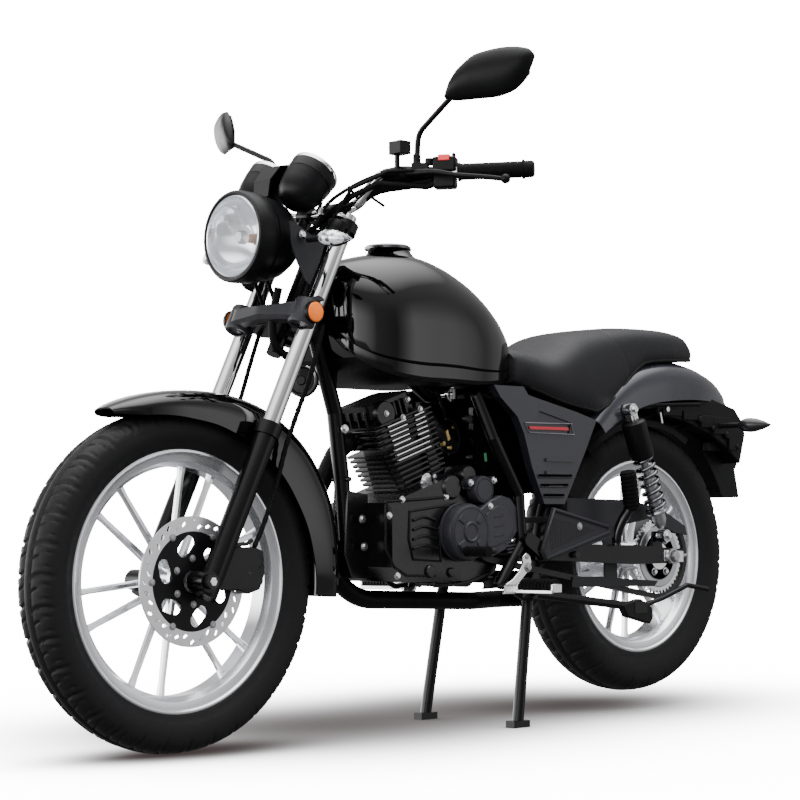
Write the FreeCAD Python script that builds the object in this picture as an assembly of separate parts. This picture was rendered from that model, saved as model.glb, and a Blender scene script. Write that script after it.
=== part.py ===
import FreeCAD, Part
import os
from math import cos, hypot, radians, sin, tan

# Cruiser motorcycle, full size, standing on its centre stand.
# X points forward, Y to the rider's left and Z up. The model is drawn with the rear
# axle at x = 0 and moved at the end, so that its origin is the middle of its footprint.

V = FreeCAD.Vector
LEFT = 1
RIGHT = -1
SIDES = (LEFT, RIGHT)

# Stance
wheelbase = 1300.0
rear_wheel_lift = 40.0
tail_reach = 430.0
overrun = 4.0
fit = 0.05
seat_gap = 0.3
run_clear = 6.0

# Wheels: tyre radius and width, rim edge radius and width over the edges
front_tyre_r = 318.0
front_tyre_w = 100.0
front_flange_r = 243.0
front_flange_w = 68.0
rear_tyre_r = 306.0
rear_tyre_w = 122.0
rear_flange_r = 217.0
rear_flange_w = 88.0
rim_wall = 6.0
rim_depth = 30.0
bead_drop = 9.0
tyre_wall = 9.0
spoke_w = 13.0
spoke_depth = 26.0
spoke_pairs = 6
spoke_foot_angle = 17.0
spoke_tip_angle = 9.5
front_spoke_angle = 46.0
rear_spoke_angle = 40.0
hub_r = 34.0
hub_flange_r = 50.0
hub_flange_w = 7.0
front_axle_r = 7.5
rear_axle_r = 8.0
drum_r = 72.0
drum_w = 44.0
drum_y = 92.0
sprocket_seat_r = 52.0
sprocket_seat_w = 12.0
axle_nut_r = 13.0
axle_nut_h = 10.0

# Front brake
disc_r = 120.0
disc_ring_w = 30.0
disc_thick = 4.0
disc_y = 64.0
disc_hole_r = 4.0
disc_holes = 12
carrier_r = 96.0
carrier_thick = 5.0
carrier_windows = 6
caliper_l = 62.0
caliper_h = 88.0
caliper_w = 52.0
caliper_wall_r = 10.0
caliper_angle = 172.0
caliper_arm_thick = 7.0

# Fork and steering head. The rake leans the steering axis back from upright.
rake = 26.0
fork_offset = 40.0
axle_lead = 17.0
fork_half_spread = 95.0
stanchion_r = 17.0
stanchion_top = 795.0
stanchion_foot = 60.0
slider_r = 21.5
slider_collar_r = 25.0
slider_collar_h = 26.0
slider_top = 333.0
slider_foot = -24.0
slider_lug_r = 20.0
stem_r = 14.0
head_tube_r = 30.0
head_tube_low = 541.0
head_tube_high = 749.0
lower_yoke_low = 500.0
lower_yoke_h = 34.0
upper_yoke_low = 757.0
upper_yoke_h = 22.0
yoke_grip_wall = 9.0
yoke_waist = 34.0
fork_cover_w = 262.0
fork_cover_h = 42.0
fork_cover_d = 26.0
reflector_r = 20.0
reflector_thick = 9.0

# Front fender, about the front axle
fender_wall = 3.0
front_fender_crown_r = 394.0
front_fender_skirt_r = 292.0
front_fender_half_w = 67.0
fender_boss_r = 9.0

# Headlamp and its bracket
headlamp_face_setback = 150.0
headlamp_z = 976.0
headlamp_r = 88.0
headlamp_lens_r = 77.0
headlamp_depth = 140.0
headlamp_lens_dome = 10.0
bracket_thick = 4.0
bracket_half_w = 104.0
bracket_sleeve_r = 22.0
bracket_low = 676.0
bracket_high = 746.0
bracket_bolt_setback = 233.0
bracket_bolt_r = 5.0
signal_l = 78.0
signal_r = 19.0
signal_stalk_r = 6.0
signal_inner_y = 146.0
signal_front_setback = 240.0
signal_front_z = 966.0
signal_sweep_share = 0.16

# Gauges
gauge_half_spread = 64.0
gauge_r = 48.0
gauge_depth = 88.0
gauge_ring_h = 9.0
gauge_setback = 300.0
gauge_z = 1108.0
gauge_tilt = 41.0
gauge_bridge_w = 60.0
gauge_stay_y = 62.0
gauge_stay_h = 18.0
gauge_stay_r = 5.0

# Handlebar and controls
bar_r = 11.0
bar_half_w = 400.0
bar_clamp_setback = 371.0
bar_clamp_z = 1040.0
bar_rise = 66.0
bar_sweep = 188.0
bar_clamp_y = 36.0
bar_clamp_r = 17.0
grip_r = 16.5
grip_l = 112.0
grip_flange_r = 21.0
switch_l = 48.0
switch_r = 21.0
lever_l = 165.0
lever_thick = 9.0
lever_w = 16.0
lever_reach = 62.0
perch_w = 26.0
cable_r = 3.5
lead_r = 6.0
cable_side = 20.0
mirror_head_l = 151.0
mirror_head_h = 95.0
mirror_head_d = 30.0
mirror_lean = 84.0
mirror_stem_r = 6.0
mirror_half_w = 472.0
mirror_low_z = 1231.0

# Frame tubes
downtube_r = 16.0
backbone_r = 21.0
rail_r = 12.5
rail_y = 88.0
rail_front_x = 560.0
rail_front_z = 693.0
strut_y = 122.0
frame_bend_share = 0.42
mitre_half_angle = 68.0
gusset_thick = 5.0

# Tank
tank_rear_x = 440.0
tank_front_setback = 364.0
tank_floor_z = 706.0
tank_h = 280.0
tank_half_w = 145.0
tank_tunnel_w = 64.0
tank_tunnel_h = 70.0
cap_place_share = 0.607
cap_r = 48.0
cap_h = 8.0
cap_hinge_r = 4.0

# Seat
seat_front_x = 474.0
seat_l = 640.0
seat_low_z = 664.0
seat_h = 206.0
seat_half_w = 140.0
seat_base_z = 762.0
seat_base_half_w = 104.0

# Side covers
cover_rear_x = 241.0
cover_l = 323.0
cover_low_z = 462.0
cover_h = 246.0
cover_inner_y = 112.0
cover_thick = 20.0
cover_recess = 4.0
louvre_h = 7.0
box_front_x = 556.0

# Rear fender, about the rear axle
rear_fender_crown_r = 494.0
rear_fender_skirt_r = 470.0
rear_fender_half_w = 128.0
inner_fender_crown_r = 336.0
inner_fender_skirt_r = 296.0
inner_fender_half_w = 70.0

# Engine
case_rear_x = 507.0
case_l = 336.0
case_low_z = 304.0
case_h = 192.0
case_half_w = 92.0
case_nose_l = 24.0
case_corner_r = 14.0
rib_r = 4.0
cylinder_foot = 5.2
alternator_x = 640.0
alternator_z = 405.0
alternator_r = 60.0
alternator_y = 128.0
starter_x = 592.0
starter_z = 491.0
starter_r = 28.0
sprocket_x = 552.0
sprocket_z = 386.0
sprocket_cover_r = 62.0
sprocket_cover_y = 124.0
clutch_x = 640.0
clutch_z = 415.0
clutch_r = 80.0
clutch_y = 128.0
cylinder_x = 722.0
cylinder_z = 492.0
cylinder_tilt = 19.0
cylinder_h = 96.0
cylinder_l = 128.0
cylinder_foot_share = 0.76
cylinder_w = 124.0
head_h = 64.0
head_l = 140.0
head_w = 132.0
rocker_h = 28.0
rocker_l = 118.0
rocker_w = 104.0
fin_pitch = 11.0
fin_thick = 3.4
fin_depth = 15.0
carburettor_r = 24.0
carburettor_l = 92.0

# Exhaust
pipe_r = 19.0
muffler_r = 47.0
muffler_y = -182.0
muffler_front_x = 40.0
muffler_front_z = 283.0
muffler_rear_x = -405.0
muffler_rear_z = 420.0

# Swingarm, shocks and chain
pivot_x = 430.0
pivot_z = 362.0
pivot_tube_r = 20.0
arm_y = 126.0
arm_w = 26.0
arm_h = 42.0
shock_y = 148.0
shock_top_x = 147.0
shock_top_z = 670.0
shock_foot_x = 35.0
shock_foot_z = 392.0
shock_cover_r = 27.0
shock_spring_r = 26.0
shock_body_r = 16.0
shock_eye_r = 14.0
shock_coils = 6
chain_y = 101.0
chain_w = 15.0
chain_h = 12.0
chain_inner = 1.0
guard_thick = 3.0
tooth_share = 0.05
front_sprocket_r = 32.0
rear_sprocket_r = 84.0
sprocket_thick = 6.0
sprocket_teeth = 41

# Foot controls
peg_r = 15.0
peg_l = 105.0
peg_x = 545.0
peg_z = 292.0
pillion_peg_l = 86.0
peg_inner_y = 110.0
pillion_x = 180.0
pillion_z = 452.0
shift_x = 572.0
shift_z = 366.0
shift_tip_x = 655.0
shift_tip_z = 365.0

# Stands
side_pivot_x = 492.0
side_pivot_z = 276.0
side_pivot_y = 162.0
side_bolt_r = 6.0
side_leg_l = 335.0
side_leg_r = 11.0
centre_pivot_x = 455.0
centre_pivot_z = 308.0
centre_leg_y = 125.0
centre_tube_r = 14.0
centre_bolt_r = 7.0
lug_y = 70.0
lug_thick = 8.0
lug_r = 12.0
ear_r = 24.0
ear_reach = 11.0
centre_leg_r = 12.0
centre_foot_x = 505.0
centre_foot_y = 136.0

# Tail
plate_holder_half_w = 50.0
plate_holder_thick = 5.0
hook_hole_r = 7.0
tail_x = -337.0
tail_z = 646.0
tail_low_x = -375.0
tail_low_z = 481.0
tail_tray_l = 60.0
tail_lamp_half_w = 40.0
tail_lamp_d = 18.0

# Places worked out from the sizes above
headlamp_face_x = wheelbase - headlamp_face_setback
bracket_bolt_x = wheelbase - bracket_bolt_setback
signal_front_x = wheelbase - signal_front_setback
gauge_x = wheelbase - gauge_setback
bar_clamp_x = wheelbase - bar_clamp_setback
tank_l = wheelbase - tank_front_setback - tank_rear_x
cap_x = tank_rear_x + tank_l * cap_place_share
seat_rear_x = seat_front_x - seat_l
front_axle_z = front_tyre_r
rear_axle_z = rear_tyre_r + rear_wheel_lift
mid_x = (wheelbase + front_tyre_r - tail_reach) / 2
lean = radians(rake)
steer_dir = V(-sin(lean), 0, cos(lean))
steer_fwd = V(cos(lean), 0, sin(lean))
axle_base = V(wheelbase, 0, front_axle_z) - steer_fwd * (fork_offset + axle_lead)

# Outlines, as shares of the sizes they follow
mirror_outline_shares = [
    (0.0, 0.0, 0.084, 0.25), (0.06, -0.04, 0.36, 0.6), (0.16, -0.06, 0.61, 0.85),
    (0.34, -0.06, 0.85, 1.0), (0.60, -0.05, 0.94, 1.0), (0.80, 0.06, 0.93, 0.95),
    (0.92, 0.32, 0.87, 0.8), (0.985, 0.55, 0.80, 0.5), (1.0, 0.65, 0.74, 0.2)]
drive_shares = [(-0.42, 1.42), (-0.86, 0.98), (-0.89, 0.36), (-0.55, -0.45)]
triangle_shares = [(0.94, 2.6), (0.44, 1.5), (0.44, 1.2), (1.0, -0.1), (1.03, 0.36)]
over_chain_shares = [
    (0.74, 3.08), (0.26, 3.0), (0.0, 2.55), (-0.20, 1.6), (-0.22, 1.1), (-0.12, 1.25), (0.10, 2.0),
    (0.30, 1.7), (0.36, 0.1), (0.46, 0.1), (0.48, 1.6), (0.74, 1.9)]
under_chain_shares = [
    (0.36, 0.3), (0.46, 0.3), (0.46, -1.0), (0.70, -0.96), (0.70, -1.48), (0.06, -1.6), (0.03, -1.32),
    (0.36, -1.1)]
mirror_section_shares = [(-0.2, 1.0), (0.55, 0.78), (0.8, 0.0), (0.55, -0.78), (-0.2, -1.0)]
plate_shares = [(0.93, 0.92), (1.09, 0.96), (1.11, 0.30), (1.05, 0.05), (0.93, 0.04)]
tyre_outer_shares = [(1.0, 0.46), (0.99, 0.68), (0.80, 0.88), (0.42, 0.985), (0.0, 1.0)]
tyre_inner_shares = [(1.0, 0.55), (0.70, 0.93)]
tank_station_shares = [
    (0.0, 0.40, 0.22, 0.34), (0.025, 0.46, 0.17, 0.48), (0.07, 0.54, 0.11, 0.62),
    (0.13, 0.64, 0.06, 0.75), (0.20, 0.735, 0.03, 0.85), (0.28, 0.82, 0.01, 0.92),
    (0.37, 0.89, 0.0, 0.97), (0.47, 0.945, 0.0, 0.995), (0.57, 0.97, 0.0, 1.0),
    (0.67, 0.965, 0.0, 1.0), (0.77, 0.94, 0.015, 0.985), (0.85, 0.905, 0.045, 0.92),
    (0.91, 0.865, 0.09, 0.81), (0.96, 0.81, 0.17, 0.63), (0.985, 0.76, 0.25, 0.47),
    (1.0, 0.69, 0.34, 0.30)]
tank_section_shares = [
    (0.0, 1.0), (0.25, 0.99), (0.49, 0.955), (0.70, 0.875), (0.87, 0.74), (0.97, 0.56), (1.0, 0.36),
    (0.975, 0.18), (0.88, 0.05), (0.72, 0.0)]
seat_station_shares = [
    (0.0, 0.78, 0.67, 0.44), (0.012, 0.87, 0.65, 0.53), (0.04, 0.945, 0.64, 0.61),
    (0.09, 0.98, 0.63, 0.67), (0.16, 0.99, 0.62, 0.73), (0.26, 0.98, 0.605, 0.785),
    (0.37, 0.962, 0.58, 0.83), (0.45, 0.945, 0.46, 0.87), (0.52, 0.92, 0.30, 0.91),
    (0.59, 0.90, 0.12, 0.95), (0.65, 0.88, 0.0, 0.98), (0.70, 0.845, 0.02, 1.0),
    (0.76, 0.77, 0.05, 1.0), (0.82, 0.705, 0.09, 1.0), (0.88, 0.695, 0.145, 0.98),
    (0.94, 0.735, 0.20, 0.94), (0.98, 0.66, 0.24, 0.87), (1.0, 0.56, 0.27, 0.78)]
seat_section_shares = [
    (0.0, 1.0), (0.35, 0.99), (0.62, 0.95), (0.83, 0.85), (0.95, 0.67), (1.0, 0.42), (0.99, 0.18),
    (0.93, 0.0)]
front_fender_shares = [
    (64.0, 0.888, 1.16, 0.42), (67.0, 0.888, 1.13, 0.66), (72.0, 0.888, 1.09, 0.86),
    (82.0, 0.888, 1.05, 0.98), (92.0, 0.895, 1.02, 1.0), (101.0, 0.911, 1.01, 1.0),
    (110.0, 0.935, 1.0, 1.0), (120.0, 0.963, 1.0, 1.0), (130.0, 0.985, 1.0, 1.0),
    (140.0, 1.0, 1.0, 1.0), (150.0, 1.003, 1.0, 1.0), (160.0, 1.0, 1.01, 1.0),
    (170.0, 0.99, 1.02, 0.98), (179.0, 0.98, 1.04, 0.94), (186.0, 0.975, 1.06, 0.86)]
rear_fender_shares = [
    (52.0, 0.80, 0.733, 0.99), (58.0, 0.823, 0.728, 1.0), (65.0, 0.848, 0.725, 1.0),
    (72.0, 0.87, 0.727, 0.99), (79.0, 0.888, 0.731, 0.98), (86.0, 0.90, 0.737, 0.965),
    (93.0, 0.912, 0.747, 0.945), (100.0, 0.926, 0.766, 0.91), (107.0, 0.941, 0.795, 0.87),
    (114.0, 0.957, 0.835, 0.81), (121.0, 0.973, 0.888, 0.70), (128.0, 0.99, 0.945, 0.53),
    (133.0, 1.0, 0.985, 0.36)]
inner_fender_shares = [(50.0 + 10 * step, 1.0, 1.0, 1.0) for step in range(8)]
arch_shares = [(0.0, 1.0), (0.40, 0.975), (0.72, 0.87), (0.93, 0.66), (1.0, 0.36), (1.0, 0.0)]
cover_outline_shares = [
    (0.11, 0.48), (0.33, 0.0), (0.53, 0.0), (0.645, 0.31), (0.72, 0.60), (0.78, 0.74),
    (0.94, 0.90), (1.0, 1.0), (0.72, 1.0), (0.675, 0.93), (0.20, 0.805), (0.0, 0.74)]
stripe_shares = [(0.28, 0.60), (0.62, 0.70), (0.57, 0.80), (0.26, 0.71)]
cover_pin_shares = [(0.45, 0.20), (0.62, 0.76)]
louvre_shares = [(0.25, 0.52, 0.38), (0.30, 0.52, 0.27), (0.36, 0.50, 0.16)]
case_outline_shares = [
    (0.0, 0.42), (0.04, 0.10), (0.14, 0.0), (0.78, 0.0), (0.93, 0.16), (1.0, 0.42),
    (0.98, 0.80), (0.87, 0.87), (0.43, 1.12), (0.35, 0.90), (0.10, 0.86), (0.02, 0.72)]


def steer_point(along, ahead, side=0):
    """A point of the steering head: up the axis, ahead of it and to the left."""
    return axle_base + steer_dir * along + steer_fwd * ahead + V(0, side, 0)


def rod(start, end, radius):
    """A round bar from one point to another."""
    return Part.makeCylinder(radius, (end - start).Length, start, end - start)


def across(x, z, radius, low, high):
    """A round bar that lies along Y."""
    return rod(V(x, low, z), V(x, high, z), radius)


def block(low, high):
    """An upright box between two corners."""
    return Part.makeBox(high.x - low.x, high.y - low.y, high.z - low.z, low)


def fused(shapes, tidy=True):
    """Several overlapping solids as one, with faces in one plane joined."""
    whole = shapes[0].multiFuse(shapes[1:])
    return whole.removeSplitter() if tidy else whole


def drilled(shape, holes):
    """A solid with several others cut out of it."""
    for hole in holes:
        shape = shape.cut(hole)
    return shape


def slab(outline, low, high):
    """A flat plate: an outline of (x, z) points between two places along Y."""
    points = [V(x, low, z) for x, z in outline]
    face = Part.Face(Part.makePolygon(points + points[:1]))
    return face.extrude(V(0, high - low, 0))


def softened(shape, radius, direction):
    """Round the straight edges that run along a direction."""
    edges = []
    for edge in shape.Edges:
        line = edge.Vertexes[-1].Point - edge.Vertexes[0].Point
        if line.Length > 0 and abs(line.dot(direction)) > 0.99 * line.Length * direction.Length:
            edges.append(edge)
    return shape.makeFillet(radius, edges)


def spread(shares, start, size):
    """Shares of a length and a height as points of a side view."""
    return [(start[0] + a * size[0], start[1] + b * size[1]) for a, b in shares]


def mirrored(half):
    """The points of a symmetric section, from those of its left half."""
    right = [(-y, z) for y, z in reversed(half) if y > 0]
    return half + right


def other_side(shape):
    """The same shape on the bike's other side."""
    return shape.mirror(V(0, 0, 0), V(0, 1, 0))


def turned(profile, centre, axis):
    """A ring or round body: a profile of (radius, along) points turned about an axis."""
    out = axis.cross(V(0, 1, 0))
    if out.Length < 0.5:
        out = V(0, 0, 1)
    out.normalize()
    points = [centre + axis * along + out * radius for radius, along in profile]
    face = Part.Face(Part.makePolygon(points + points[:1]))
    return face.revolve(centre, axis, 360)


def bent_wire(points, bend_share=frame_bend_share):
    """Straight runs joined by tangent arcs, or by plain mitres where they turn little."""
    edges = []
    start = points[0]
    for before, corner, after in zip(points, points[1:], points[2:]):
        back = before - corner
        on = after - corner
        reach = bend_share * min(back.Length, on.Length)
        half = back.getAngle(on) / 2
        if half > radians(mitre_half_angle):
            edges.append(Part.LineSegment(start, corner).toShape())
            start = corner
            continue
        back.normalize()
        on.normalize()
        first = corner + back * reach
        last = corner + on * reach
        inward = back + on
        inward.normalize()
        radius = reach * tan(half)
        middle = corner + inward * (reach / cos(half) - radius)
        edges.append(Part.LineSegment(start, first).toShape())
        edges.append(Part.Arc(first, middle, last).toShape())
        start = last
    edges.append(Part.LineSegment(start, points[-1]).toShape())
    return Part.Wire(edges)


def pipe(points, radius, bend_share=frame_bend_share):
    """A bent round tube, as a solid bar."""
    wire = bent_wire(points, bend_share)
    circle = Part.Wire([Part.makeCircle(radius, points[0], points[1] - points[0])])
    solid = Part.Solid(wire.makePipeShell([circle], True, False, 1))
    if solid.Volume < 0:
        solid.reverse()
    return solid


# Wheels

def tyre(x, z, outer_r, width, flange_r, flange_w):
    """A hollow tyre, open towards the rim between its beads."""
    bead_r = flange_r - bead_drop
    bead_y = flange_w / 2 - rim_wall

    def wall_points(inset, shares):
        half = width / 2 - inset
        height = outer_r - bead_r - inset
        foot = bead_y - seat_gap - inset
        side = [(bead_r, foot), (flange_r + rim_wall * 0.5, foot)]
        side += [(bead_r + height * b, half * a) for a, b in shares]
        return side + [(r, -y) for r, y in reversed(side)]

    profile = wall_points(0, tyre_outer_shares) + wall_points(tyre_wall, tyre_inner_shares)[::-1]
    return turned(profile, V(x, 0, z), V(0, 1, 0))


def rim(x, z, flange_r, flange_w, hub, first_angle):
    """A cast wheel: a dropped-centre ring, spokes in pairs and a hub already made."""
    half = flange_w / 2
    seat_r = flange_r - bead_drop - seat_gap
    inner_r = flange_r - rim_depth
    well_r = inner_r + rim_wall
    side = [(half, inner_r + rim_wall), (half, flange_r), (half - rim_wall, flange_r),
            (half - rim_wall, seat_r), (half - rim_wall * 2, seat_r), (half / 2, well_r)]
    under = [(half / 2, inner_r)]
    outline = side + [(-y, r) for y, r in reversed(side)] + [(-y, r) for y, r in under] + under
    ring = turned([(r, y) for y, r in outline], V(x, 0, z), V(0, 1, 0))
    spokes = []
    for pair in range(spoke_pairs):
        for way in SIDES:
            middle = first_angle + 360 / spoke_pairs * pair
            foot = radians(middle + way * spoke_foot_angle)
            tip = radians(middle + way * spoke_tip_angle)
            spokes.append(spoke(x, z, foot, tip, inner_r))
    return fused([ring, hub] + spokes)


def spoke(x, z, foot, tip, inner_r):
    """One spoke, wider at the hub than at the ring."""
    start = V(x + hub_r * cos(foot), 0, z + hub_r * sin(foot))
    reach = inner_r + rim_wall / 2
    end = V(x + reach * cos(tip), 0, z + reach * sin(tip))
    along = end - start
    along.normalize()
    side = along.cross(V(0, 1, 0))
    wires = []
    for point, share in ((start, 1.25), (end, 1.0)):
        half_w = side * (spoke_w * share / 2)
        half_d = V(0, spoke_depth * share / 2, 0)
        corners = [point + half_w + half_d, point - half_w + half_d,
                   point - half_w - half_d, point + half_w - half_d]
        wires.append(Part.makePolygon(corners + corners[:1]))
    return Part.makeLoft(wires, True, True)


def front_hub():
    """The front hub, with a flange for the brake disc on the left."""
    left = disc_y - carrier_thick / 2
    profile = [(front_axle_r + fit, -left), (hub_r * 0.8, -left), (hub_r, -left / 2),
               (hub_r, left / 2), (hub_flange_r, left - hub_flange_w), (hub_flange_r, left),
               (front_axle_r + fit, left)]
    return turned(profile, V(wheelbase, 0, front_axle_z), V(0, 1, 0))


def front_rim():
    return rim(wheelbase, front_axle_z, front_flange_r, front_flange_w, front_hub(), front_spoke_angle)


def front_tyre():
    return tyre(wheelbase, front_axle_z, front_tyre_r, front_tyre_w, front_flange_r, front_flange_w)


def front_disc():
    """Drilled brake ring on a windowed carrier, bolted to the hub flange."""
    inner = disc_r - disc_ring_w
    ring = across(wheelbase, front_axle_z, disc_r, disc_y - disc_thick / 2, disc_y + disc_thick / 2)
    ring = ring.cut(across(wheelbase, front_axle_z, inner, 0, disc_r))
    carrier = across(wheelbase, front_axle_z, carrier_r, disc_y - carrier_thick / 2,
                     disc_y + carrier_thick / 2)
    whole = fused([ring, carrier])
    cuts = [across(wheelbase, front_axle_z, hub_r * 0.6, 0, disc_r)]
    window_r = (carrier_r + hub_flange_r) / 2
    for i in range(carrier_windows):
        turn = radians(360 / carrier_windows * i)
        cuts.append(across(wheelbase + window_r * cos(turn), front_axle_z + window_r * sin(turn),
                           window_r / 5, 0, disc_r))
    for i in range(disc_holes):
        turn = radians(360 / disc_holes * i)
        out = inner + disc_ring_w * (0.35 + 0.3 * (i % 2))
        cuts.append(across(wheelbase + out * cos(turn), front_axle_z + out * sin(turn),
                           disc_hole_r, 0, disc_r))
    return drilled(whole, cuts)


def rear_hub():
    """The rear hub, a brake drum on the right and the sprocket seat on the left."""
    left = chain_y - sprocket_thick / 2
    profile = [(rear_axle_r + fit, -drum_y), (drum_r, -drum_y), (drum_r, -drum_y + drum_w),
               (hub_r, 0), (hub_r, left - sprocket_seat_w), (sprocket_seat_r, left - sprocket_seat_w),
               (sprocket_seat_r, left), (rear_axle_r + fit, left)]
    return turned(profile, V(0, 0, rear_axle_z), V(0, 1, 0))


def rear_rim():
    return rim(0, rear_axle_z, rear_flange_r, rear_flange_w, rear_hub(), rear_spoke_angle)


def rear_tyre():
    return tyre(0, rear_axle_z, rear_tyre_r, rear_tyre_w, rear_flange_r, rear_flange_w)


def toothed_disc(x, z, tip_r, teeth, low, high, bore):
    """A chain wheel with pointed teeth."""
    outline = []
    for i in range(teeth):
        for share, out in ((0.0, 1.0), (0.3, 1.0 - tooth_share), (0.7, 1.0 - tooth_share)):
            turn = radians(360 / teeth * (i + share))
            outline.append((x + tip_r * out * cos(turn), z + tip_r * out * sin(turn)))
    return slab(outline, low, high).cut(across(x, z, bore, low - overrun, high + overrun))


def rear_sprocket():
    """The chain wheel, lightened by round windows."""
    low = chain_y - sprocket_thick / 2
    high = chain_y + sprocket_thick / 2
    wheel = toothed_disc(0, rear_axle_z, rear_sprocket_r, sprocket_teeth, low, high,
                         rear_axle_r + fit)
    ring_r = (sprocket_seat_r + rear_sprocket_r) / 2
    cuts = []
    for i in range(spoke_pairs):
        turn = radians(360 / spoke_pairs * i)
        cuts.append(across(ring_r * cos(turn), rear_axle_z + ring_r * sin(turn),
                           ring_r / 6, low - overrun, high + overrun))
    return drilled(wheel, cuts)


# Fork and steering head

def both_sides(make):
    """One solid on each side of the bike."""
    left = make()
    return Part.makeCompound([left, other_side(left)])


def fork_stanchions():
    def one():
        return rod(steer_point(stanchion_foot, fork_offset, fork_half_spread),
                   steer_point(stanchion_top, fork_offset, fork_half_spread), stanchion_r)
    return both_sides(one)


def slider(side):
    """A lower leg: tube, collar, axle lug, and on the left the caliper's arm."""
    y = side * fork_half_spread
    foot = steer_point(slider_foot, fork_offset, y)
    top = steer_point(slider_top, fork_offset, y)
    collar = steer_point(slider_top - slider_collar_h, fork_offset, y)
    lug = across(wheelbase, front_axle_z, slider_lug_r, y - slider_r, y + slider_r)
    parts = [rod(foot, top, slider_r), rod(collar, top, slider_collar_r), lug]
    if side == LEFT:
        parts.append(caliper_arm())
    bore = rod(steer_point(stanchion_foot - overrun, fork_offset, y),
               steer_point(slider_top + overrun, fork_offset, y), stanchion_r + fit)
    axle = across(wheelbase, front_axle_z, front_axle_r + fit, y - slider_lug_r * 2,
                  y + slider_lug_r * 2)
    return drilled(fused(parts), [bore, axle])


def fork_sliders():
    return Part.makeCompound([slider(LEFT), slider(RIGHT)])


def caliper_centre():
    turn = radians(caliper_angle)
    return wheelbase + disc_r * cos(turn), front_axle_z + disc_r * sin(turn)


def caliper_arm():
    """A plate from the left leg to the caliper's outer face."""
    x, z = caliper_centre()
    low = disc_y + caliper_w / 2 + seat_gap
    leg = steer_point(0, fork_offset)
    outline = [(leg.x, leg.z - caliper_h * 0.1), (x - caliper_l * 0.2, z - caliper_h * 0.36),
               (x - caliper_l * 0.2, z + caliper_h * 0.36),
               (leg.x - caliper_l * 0.35, leg.z + caliper_h)]
    return slab(outline, low, low + caliper_arm_thick)


def brake_caliper():
    """The caliper straddles the disc, with a piston boss on its outer face."""
    x, z = caliper_centre()
    body = block(V(x - caliper_l / 2, disc_y - caliper_w / 2, z - caliper_h / 2),
                 V(x + caliper_l / 2, disc_y + caliper_w / 2, z + caliper_h / 2))
    body = softened(body, caliper_wall_r, V(0, 1, 0))
    slot = across(wheelbase, front_axle_z, disc_r + run_clear, disc_y - disc_thick / 2 - run_clear,
                  disc_y + disc_thick / 2 + run_clear)
    return body.cut(slot)


def front_axle():
    """The spindle with a spacer each side of the hub, a head and a nut."""
    left = disc_y - carrier_thick / 2 + seat_gap + carrier_thick
    inner = fork_half_spread - slider_r - seat_gap
    outer = fork_half_spread + slider_r + seat_gap
    right = disc_y - carrier_thick / 2 + seat_gap
    profile = [(0, -outer - axle_nut_h), (axle_nut_r, -outer - axle_nut_h), (axle_nut_r, -outer),
               (front_axle_r, -outer), (front_axle_r, -inner), (axle_nut_r, -inner),
               (axle_nut_r, -right), (front_axle_r, -right), (front_axle_r, left),
               (axle_nut_r, left), (axle_nut_r, inner), (front_axle_r, inner),
               (front_axle_r, outer), (axle_nut_r, outer), (axle_nut_r, outer + axle_nut_h),
               (0, outer + axle_nut_h)]
    return turned(profile, V(wheelbase, 0, front_axle_z), V(0, 1, 0))


def yoke_plate(low, high):
    """A clamp for both legs and the stem, waisted between them."""
    grip = stanchion_r + yoke_grip_wall
    waist = yoke_waist / 2
    outline = [(-waist, -waist), (fork_offset - waist, -fork_half_spread),
               (fork_offset + waist, -fork_half_spread), (waist * 1.6, 0),
               (fork_offset + waist, fork_half_spread), (fork_offset - waist, fork_half_spread),
               (-waist, waist)]
    points = [steer_point(low, d, y) for d, y in outline]
    plate = Part.Face(Part.makePolygon(points + points[:1])).extrude(steer_dir * (high - low))
    bosses = [rod(steer_point(low, fork_offset, y * fork_half_spread),
                  steer_point(high, fork_offset, y * fork_half_spread), grip) for y in SIDES]
    centre = rod(steer_point(low, 0), steer_point(high, 0), waist * 1.5)
    return fused([plate, centre] + bosses)


def leg_holes(low, high):
    return [rod(steer_point(low - overrun, fork_offset, y * fork_half_spread),
                steer_point(high + overrun, fork_offset, y * fork_half_spread),
                stanchion_r + fit) for y in SIDES]


def lower_yoke():
    """Lower clamp with the steering stem that turns in the head tube."""
    high = lower_yoke_low + lower_yoke_h
    stem = rod(steer_point(lower_yoke_low, 0), steer_point(upper_yoke_low + upper_yoke_h, 0), stem_r)
    plate = drilled(yoke_plate(lower_yoke_low, high), leg_holes(lower_yoke_low, high))
    return fused([plate, stem])


def bar_clamp(side):
    """A post on the upper yoke that holds the bar."""
    y = side * bar_clamp_y
    foot = V(bar_clamp_x, y, bar_clamp_z) - steer_dir * (bar_clamp_z - upper_yoke_z())
    post = rod(foot, V(bar_clamp_x, y, bar_clamp_z), bar_clamp_r * 0.8)
    ring = across(bar_clamp_x, bar_clamp_z, bar_clamp_r, y - bar_clamp_r, y + bar_clamp_r)
    return [post, ring]


def upper_yoke_z():
    return steer_point(upper_yoke_low + upper_yoke_h / 2, fork_offset).z


def upper_yoke():
    """Upper clamp with the two handlebar posts."""
    high = upper_yoke_low + upper_yoke_h
    parts = [yoke_plate(upper_yoke_low, high)] + bar_clamp(LEFT) + bar_clamp(RIGHT)
    cuts = leg_holes(upper_yoke_low, high)
    cuts.append(rod(steer_point(upper_yoke_low - overrun, 0), steer_point(high + overrun, 0),
                    stem_r + fit))
    cuts.append(across(bar_clamp_x, bar_clamp_z, bar_r + fit, -bar_half_w, bar_half_w))
    return drilled(fused(parts), cuts)


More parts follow.
